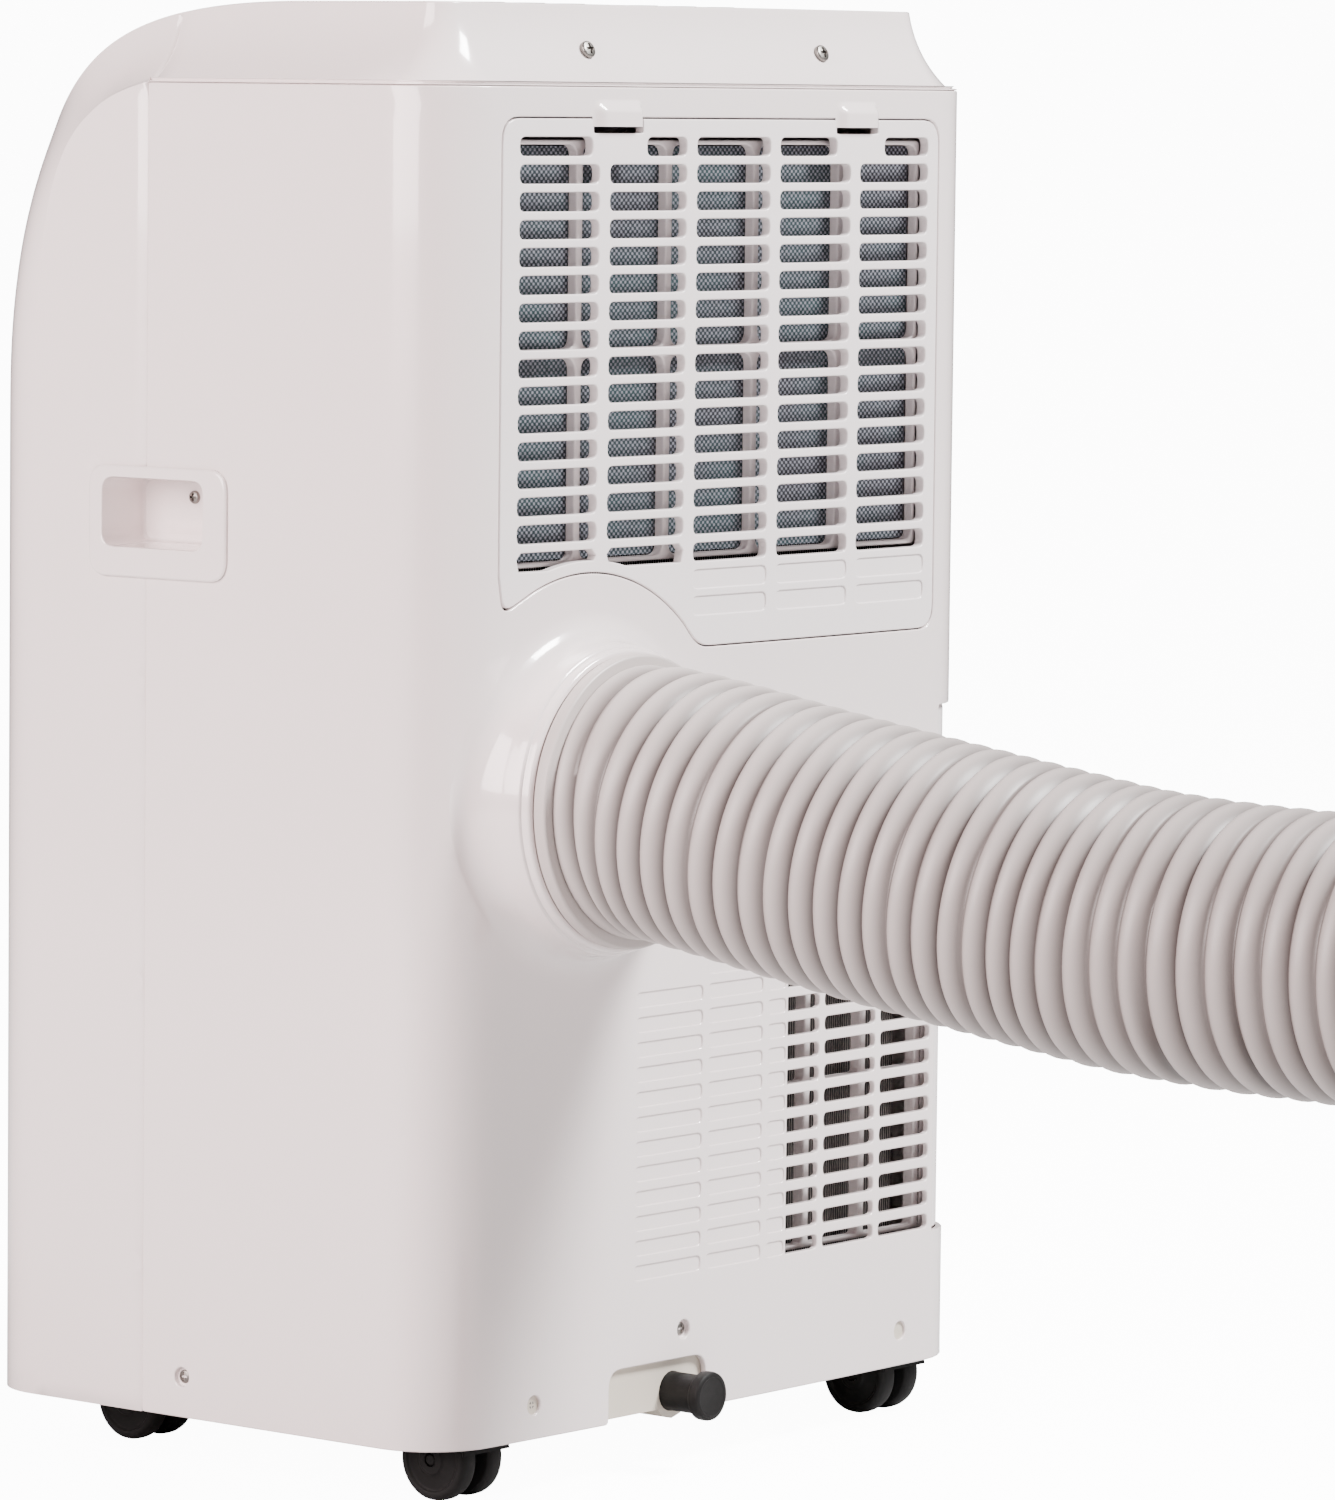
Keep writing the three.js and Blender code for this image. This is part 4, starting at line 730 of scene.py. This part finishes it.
def front_section(q, across):
    """A point of the front: across runs 0 to 1 over the bowed face to its edge, then 1 to 2 round the shoulder, a
    conic curve that blends from a round corner to the cove, laid along the profile's inward normal."""
    at = front_profile(q)
    slope = norm(front_profile(q + 0.5) - front_profile(q - 0.5))
    inward = np.stack([slope[..., 1], -slope[..., 0]], -1)
    mix = shoulder_mix(q)
    settle = np.clip((q - q_seam + 60) / 60, 0, 1)[..., None]
    inward = norm(inward * (1 - settle) + settle * np.array([0.0, -1.0]))
    high = 38 * (1 - mix) + (front_profile(q_seam)[1] - seam_z) * mix
    t = np.clip(across - 1, 0, 1)
    ends = [(half_width - 38 * (1 - mix) - 25 * mix, 0 * q), (half_width - 20 * mix, high * 0.58 * mix),
            (half_width - 5.6 * mix, high - 1.4 * mix)]
    weight = 0.707 * (1 - mix) + mix
    basis = ((1 - t) ** 2, 2 * weight * t * (1 - t), t ** 2)
    total = sum(basis)
    x, depth = (sum(b * end[i] for b, end in zip(basis, ends)) / total for i in range(2))
    flat = np.clip(across, 0, 1)
    bow = 8 * (1 - flat ** 2) * (1 - mix)
    x = np.where(across < 1, flat * ends[0][0], x)
    yz = at + inward * (np.where(across < 1, -bow, depth))[..., None]
    return np.stack([x, yz[..., 0], yz[..., 1]], -1)


outlet_low, outlet_high, outlet_half = 576, 640, 150
louvre_q = [np.interp(z, profile[:, 1], profile_along) for z in (outlet_low, outlet_high)]
q_rows = np.unique(np.concatenate([np.linspace(0, 480, 33), np.linspace(480, louvre_q[0], 12),
                                   np.linspace(louvre_q[0], louvre_q[1], 14), np.linspace(louvre_q[1], q_seam, 30)]))
edge_share = outlet_half / (half_width - 38)
across_half = np.concatenate([np.linspace(0, edge_share, 13), np.linspace(edge_share, 1, 4)[1:],
                              1 + np.linspace(0, 1, 15)[1:]])
qq, aa = np.meshgrid(q_rows, across_half, indexing="ij")
half_grid = front_section(qq, aa)
ledge = half_grid[:, -1].copy()
ledge[:, 0] = half_width
drop = shoulder_mix(q_rows)[:, None] * 1.4
inward_rows = norm(half_grid[:, -1, 1:] - front_profile(q_rows) + 1e-9)
ledge[:, 1:] += inward_rows * drop
half_grid = np.concatenate([half_grid, ledge[:, None]], 1)
mirror = half_grid[:, :0:-1] * (-1, 1, 1)
front_grid = np.concatenate([mirror, half_grid], 1)
front_points, front_faces = grid(front_grid)
middle = front_points[front_faces].mean(1)
outlet = ((np.abs(middle[:, 0]) < outlet_half) & (middle[:, 2] > outlet_low) & (middle[:, 2] < outlet_high)
          & (middle[:, 1] < -60))
front_nets = [(front_points, front_faces[~outlet])]
side_arc = half_grid[:, -1, 1:]
upper_z, lower_z = np.linspace(side_arc[-1, 1], handle_high, 26)[1:], np.linspace(handle_low, 28, 50)
side_outline = np.concatenate([side_arc, [(seam_y - seam_gap, z) for z in upper_z],
                               [(-67.4, handle_high), (-67.4, handle_low)],
                               [(seam_y - seam_gap, z) for z in lower_z]])
side_outline = side_outline[np.linalg.norm(side_outline - np.roll(side_outline, 1, 0), axis=1) > 1e-3]
side_points, side_faces = fill([side_outline[::-1]], 8.0)
for side in (1, -1):
    front_nets.append((np.column_stack([np.full(len(side_points), side * half_width), side_points]), side_faces))
piece("front_shell_skin", front_nets, shell_white, "cabinet", ["front_shell"], wall=2.6, sharp=32)

# ---- Louvre
# The swing flap over the air outlet, cut from the same sweep as the front, with a rolled rim all round.
louvre_rows = np.linspace(louvre_q[0] + 1.5, louvre_q[1] - 1.5, 18)
louvre_across = np.linspace(-148.5, 148.5, 49) / (half_width - 38)
lq, la = np.meshgrid(louvre_rows, louvre_across, indexing="ij")
louvre_face = front_section(lq, np.abs(la)) * np.stack([np.sign(la), 1 + 0 * la, 1 + 0 * la], -1)
piece("louvre_flap", [grid(louvre_face)], shell_white, "louvre", ["louvre"], wall=2.4)

# ---- Handles
# Two recessed carrying handles, each a flanged cup pressed into the side and held by one screw in its pocket.


def handle_cup(side):
    """One handle as a wrap of rounded rectangles: flange edge, flange face, mouth, pocket wall and floor."""
    def ring(y0, y1, z0, z1, r, depth):
        loop = slot_loop(y0, y1, z0, z1, r, 7)
        return np.column_stack([np.full(len(loop), side * (half_width + depth)), loop])

    rows = [ring(-72, 17, 431.5, 485, 11, 0.05), ring(-72, 17, 431.5, 485, 11, 1.2),
            ring(-71.4, 16.4, 432.1, 484.4, 10.5, 1.9), ring(-70.4, 15.4, 433.1, 483.4, 9.6, 2.1),
            ring(-64.4, 3.4, 444.6, 480.4, 8, 2.1), ring(-63.4, 2.4, 445.6, 479.4, 7.4, 1.7),
            ring(-63, 2, 446, 479, 7, 0.8), ring(-62.6, 1.4, 446.6, 478.4, 6.8, -12),
            ring(-62.2, 0.8, 447.2, 477.8, 6.6, -25.4), ring(-61, -0.4, 448.4, 476.6, 5.6, -26.9),
            ring(-58, -3.4, 451.4, 473.6, 4, -27.3)]
    rows = np.array(rows)[:, ::int(side)]
    flat, faces = fill([turned_left(rows[-1, :, 1:])], 8)
    floor_net = np.column_stack([np.full(len(flat), side * (half_width - 27.3)), flat])
    return [grid(rows, wrap_cols=True), (floor_net, faces)]


for side, name in ((1, "handle_left"), (-1, "handle_right")):
    piece(name + "_cup", handle_cup(side), shell_white, "cabinet", [name], wall=1.8)

# ---- Drain plug
# A black rubber stopper on the base pan's drain: a stem, a wide flange and a domed grip.
soft_rubber = plastic_finish("drain_rubber", (0.007, 0.0065, 0.0065), 0.5, grain=700.0, depth=0.2, mottle=0.1)
plug_profile = [(0.01, -8.2), (7, -8.2), (8.8, -8), (9.5, -7), (9.5, 14.6), (9.9, 15.4), (11.2, 15.6), (11.9, 16.4),
                (12, 17.6), (12, 20), (11.7, 21.2), (10.8, 21.9), (9.6, 22), (9, 21.6), (0.01, 21.4)]
piece("drain_stopper", [turned(plug_profile, (33, rear_y, 38), "y", 56)], soft_rubber, "drain_plug",
      ["drain_plug"])

# ---- Casters
# Four twin-wheel swivel casters in black nylon: a hood with a middle web on a steel stem, and two pressed-on wheels.
nylon_black = plastic_finish("caster_nylon", (0.006, 0.0056, 0.0056), 0.45, grain=900.0, depth=0.12, mottle=0.08)
tread_black = plastic_finish("caster_tread", (0.008, 0.0075, 0.0075), 0.6, grain=600.0, depth=0.25, mottle=0.15)
wheel_profile = [(3.3, 0.4), (6.5, 0.2), (17.6, 0.2), (18.6, 0.7), (19.5, 1.8), (19.9, 3.4), (20, 5.5), (19.9, 7.8),
                 (19.4, 9.6), (18.4, 10.8), (17, 11.3), (15.6, 11), (14.9, 10.1), (14.2, 9.8), (8.2, 10.9), (7.4, 11.4),
                 (6.8, 11.9), (3.4, 11.95), (3.3, 11.4)]
hood_half, hood_r = 17.0, 22.5
hood_turn = np.radians(np.linspace(11, 169, 44))
hood_rings = np.array([
    np.stack([x + 0 * hood_turn, r * np.cos(hood_turn), r * np.sin(hood_turn)], -1)
    for r, x in ((hood_r - 1.2, -hood_half + 1.3), (hood_r - 1.2, -hood_half + 0.4), (hood_r - 0.7, -hood_half),
                 (hood_r - 0.3, -hood_half + 0.3), (hood_r, -hood_half + 1.8), (hood_r, hood_half - 1.8),
                 (hood_r - 0.3, hood_half - 0.3), (hood_r - 0.7, hood_half), (hood_r - 1.2, hood_half - 0.4),
                 (hood_r - 1.2, hood_half - 1.3))])
hood_ends = [np.repeat(hood_rings[:, [end]].mean(0, keepdims=True), len(hood_rings), 0) for end in (0, -1)]
hood_rings = np.concatenate([hood_ends[0], hood_rings, hood_ends[1]], 1)
for where, place_x, place_y in (("rear_left", 163, 118), ("rear_right", -163, 118), ("front_left", 140, -101),
                                ("front_right", -140, -101)):
    hub = np.array([place_x, place_y + 6.0, 20.0])
    for tag, way in (("a", 1), ("b", -1)):
        node = f"caster_{where}_wheel_{tag}"
        tyre = [(r, way * (4 + along)) for r, along in wheel_profile]
        piece(node + "_tyre", [turned(tyre + tyre[:1], hub, "x", 64)], tread_black, node, [node])
    stem = [(0.01, 40), (8.4, 40), (9, 40.6), (9, 53.2), (8.4, 54), (0.01, 54)]
    axle = [(0.01, -15.8), (2.2, -15.8), (2.9, -15.2), (2.9, 15.2), (2.2, 15.8), (0.01, 15.8)]
    web = [(0.01, -3.9), (12.2, -3.9), (12.8, -3.3), (12.8, 3.3), (12.2, 3.9), (0.01, 3.9)]
    fork_nets = [grid(hood_rings + hub, wrap_rows=True), turned(stem, (place_x, place_y, 0), "z", 40),
                 turned(axle, hub, "x", 32), turned(web, hub, "x", 48),
                 bar(place_x - 3.9, place_x + 3.9, hub[1] - 12.6, hub[1] + 12.6, 21, 41.5, 0.8)]
    piece(f"caster_{where}_hood", fork_nets, nylon_black, f"caster_{where}", [f"caster_{where}_fork"])

for black in (soft_rubber, nylon_black, tread_black):
    black.node_tree.nodes["Principled BSDF"].inputs["Specular IOR Level"].default_value = 0.2

# ---- Screws
# Nine cross-recessed pan-head screws in zinc-plated steel hold the housing, top cover and handles.
zinc, zinc_tree, zinc_shader = nodes_of("zinc_plate")
zinc_place = add(zinc_tree, "ShaderNodeTexCoord")
zinc_noise = add(zinc_tree, "ShaderNodeTexNoise", {"Vector": zinc_place.outputs["Object"], "Scale": 1500.0})
zinc_rough = add(zinc_tree, "ShaderNodeMapRange", {"Value": zinc_noise.outputs["Fac"], "To Min": 0.28, "To Max": 0.5})
# The zinc's dark colour is partly its own dull plating and partly painted shade of the wells the screws sit in.
feed(zinc_tree, zinc_shader, {"Base Color": (0.24, 0.225, 0.21, 1), "Metallic": 1.0,
                              "Roughness": zinc_rough.outputs[0]})


def screw(place, out, radius=3.4):
    """A screw head at a place that faces a direction: a low dome with rounded rim whose top has a cross-shaped
    recess with sloping walls, filled between the cross and the rim."""
    out = norm(np.array(out, float))
    right = norm(np.cross((0, 0, 1.0), out)) if abs(out[2]) < 0.9 else np.array([1.0, 0, 0])
    up = np.cross(out, right)
    lay = lambda flat, height: np.array(place) + flat[..., :1] * right + flat[..., 1:] * up + out * height[..., None]
    rim = circle(0, 0, radius, 32)
    rows = [lay(rim * k, np.full(32, h)) for k, h in ((0.97, -2.2), (1, 0.3), (0.99, 0.8), (0.94, 1.2), (0.84, 1.5))]
    a, b = 0.17 * radius, 0.62 * radius
    cross = np.array([(b, -a), (b, a), (a, a), (a, b), (-a, b), (-a, a), (-b, a), (-b, -a), (-a, -a), (-a, -b),
                      (a, -b), (a, -a)])
    top, faces = fill([rim * 0.84, cross[::-1]], 2)
    dome = lambda flat: 1.5 + 0.45 * (1 - (np.linalg.norm(flat, axis=-1) / (0.84 * radius)) ** 2)
    walls = np.array([lay(cross, dome(cross)), lay(cross * 0.86, np.full(12, 0.4))])
    floor_points, floor_faces = fill([cross * 0.86], 3)
    return [grid(np.array(rows), wrap_cols=True), (lay(top, dome(top)), faces), grid(walls, wrap_cols=True),
            (lay(floor_points, np.full(len(floor_points), 0.4)), floor_faces)]


screw_nets = []
for x, z in screw_places:
    y = float(back_plane(np.array([[x, 0.0]]))[0, 1])
    screw_nets += screw((x, y - 3.4, z), (0, 1, 0))
for side in (1, -1):
    screw_nets += screw((side * (half_width - 3.4), -10, 47.7), (side, 0, 0))
    screw_nets += screw((side * (half_width - 27.3), -29, 469.5), (side, 0, 0), 3.2)
    screw_nets += screw((side * 90, 138.7, 685.4), (0, 0.92, 0.4), 4.3)
piece("housing_screws", screw_nets, zinc, "cabinet", sharp=35, turn_out=False)

# ---- Base pan, panel and the parts inside
# The CAD's own shapes in their materials: cream polypropylene pan, black glass display, foam, steel, copper, enamel.
pan_cream = plastic_finish("pan_cream", (0.62, 0.555, 0.47), 0.38, grain=1000.0, depth=0.12, mottle=0.05)
panel_gray = plastic_finish("panel_gray", (0.30, 0.30, 0.31), 0.3, grain=1300.0, depth=0.08)
lens_black = plastic_finish("lens_black", (0.008, 0.008, 0.010), 0.06, grain=300.0, depth=0.01, coat=0.8)
foam_white = plastic_finish("bead_foam", (0.72, 0.72, 0.70), 0.85, grain=260.0, depth=0.6, mottle=0.03)
steel_plain = plastic_finish("galvanised_steel", (0.48, 0.48, 0.47), 0.36, grain=220.0, depth=0.1, mottle=0.12)
copper_tube = plastic_finish("copper_tube", (0.68, 0.30, 0.16), 0.26, grain=500.0, depth=0.05, mottle=0.1)
enamel_black = plastic_finish("enamel_black", (0.012, 0.012, 0.013), 0.2, grain=350.0, depth=0.15, mottle=0.05)
for metal in (steel_plain, copper_tube):
    metal.node_tree.nodes["Principled BSDF"].inputs["Metallic"].default_value = 1.0
for finish, nodes in (
        (pan_cream, ["base_pan"]), (lens_black, ["display_window"]),
        (panel_gray, ["control_panel"] + [f"button_{i}" for i in range(1, 7)]),
        (grille_white, ["vane_tie_bar"] + [f"vane_{i}" for i in range(1, 5)]),
        (nylon_black, ["power_inlet", "evaporator_blower", "condenser_blower", "slinger_wheel"]),
        (foam_white, ["outlet_duct", "evaporator_scroll", "exhaust_scroll", "exhaust_elbow", "deck", "float_arm"]),
        (steel_plain, ["evaporator_motor", "condenser_motor", "electrical_box", "slinger_motor"]),
        (enamel_black, ["compressor"]), (copper_tube, ["discharge_pipe", "suction_pipe"])):
    for node in nodes:
        dress(node, finish)

# ---- Studio
# A plain pale floor and even white light from all round, with tall soft boxes for the gloss along the corners.
floor_mesh = bpy.data.meshes.new("floor")
floor_mesh.from_pydata([(-30, -30, 0), (30, -30, 0), (30, 30, 0), (-30, 30, 0)], [], [(0, 1, 2, 3)])
floor = bpy.data.objects.new("floor", floor_mesh)
bpy.context.scene.collection.objects.link(floor)
floor_pale, floor_tree, floor_shader = nodes_of("floor_pale")
white_glow = 12.0


def camera_glow(tree, own):
    """A strength that keeps its own value as light and is the white glow where it is looked at straight."""
    ray = add(tree, "ShaderNodeLightPath")
    return add(tree, "ShaderNodeMapRange", {"Value": ray.outputs["Is Camera Ray"], "To Min": own,
                                            "To Max": white_glow}).outputs[0]


feed(floor_tree, floor_shader, {"Base Color": (0.5, 0.5, 0.5, 1), "Roughness": 0.95, "Specular IOR Level": 0.0,
                                "Emission Color": (1, 1, 1, 1), "Emission Strength": camera_glow(floor_tree, 0.0)})
floor_mesh.materials.append(floor_pale)
world = bpy.data.worlds.new("studio")
bpy.context.scene.world = world
world.use_nodes = True
sky = world.node_tree
feed(sky, sky.nodes["Background"], {"Color": (1, 1, 1, 1), "Strength": camera_glow(sky, 0.24)})


def soft_box(name, place, aim, width, height, power, tint=(1, 1, 1)):
    """A rectangular area light that faces a point."""
    light = bpy.data.lights.new(name, "AREA")
    light.shape, light.size, light.size_y, light.energy, light.color = "RECTANGLE", width, height, power, tint
    made = bpy.data.objects.new(name, light)
    bpy.context.scene.collection.objects.link(made)
    made.location = place
    made.rotation_euler = (Vector(aim) - Vector(place)).to_track_quat("-Z", "Y").to_euler()
    return made


soft_box("key box", (-1.1, 2.1, 2.9), (0, 0.2, 0.4), 1.0, 1.0, 380)
soft_box("side box", (2.6, -0.35, 1.35), (0.1, 0, 0.45), 2.0, 1.7, 195, (1, 0.87, 0.86))
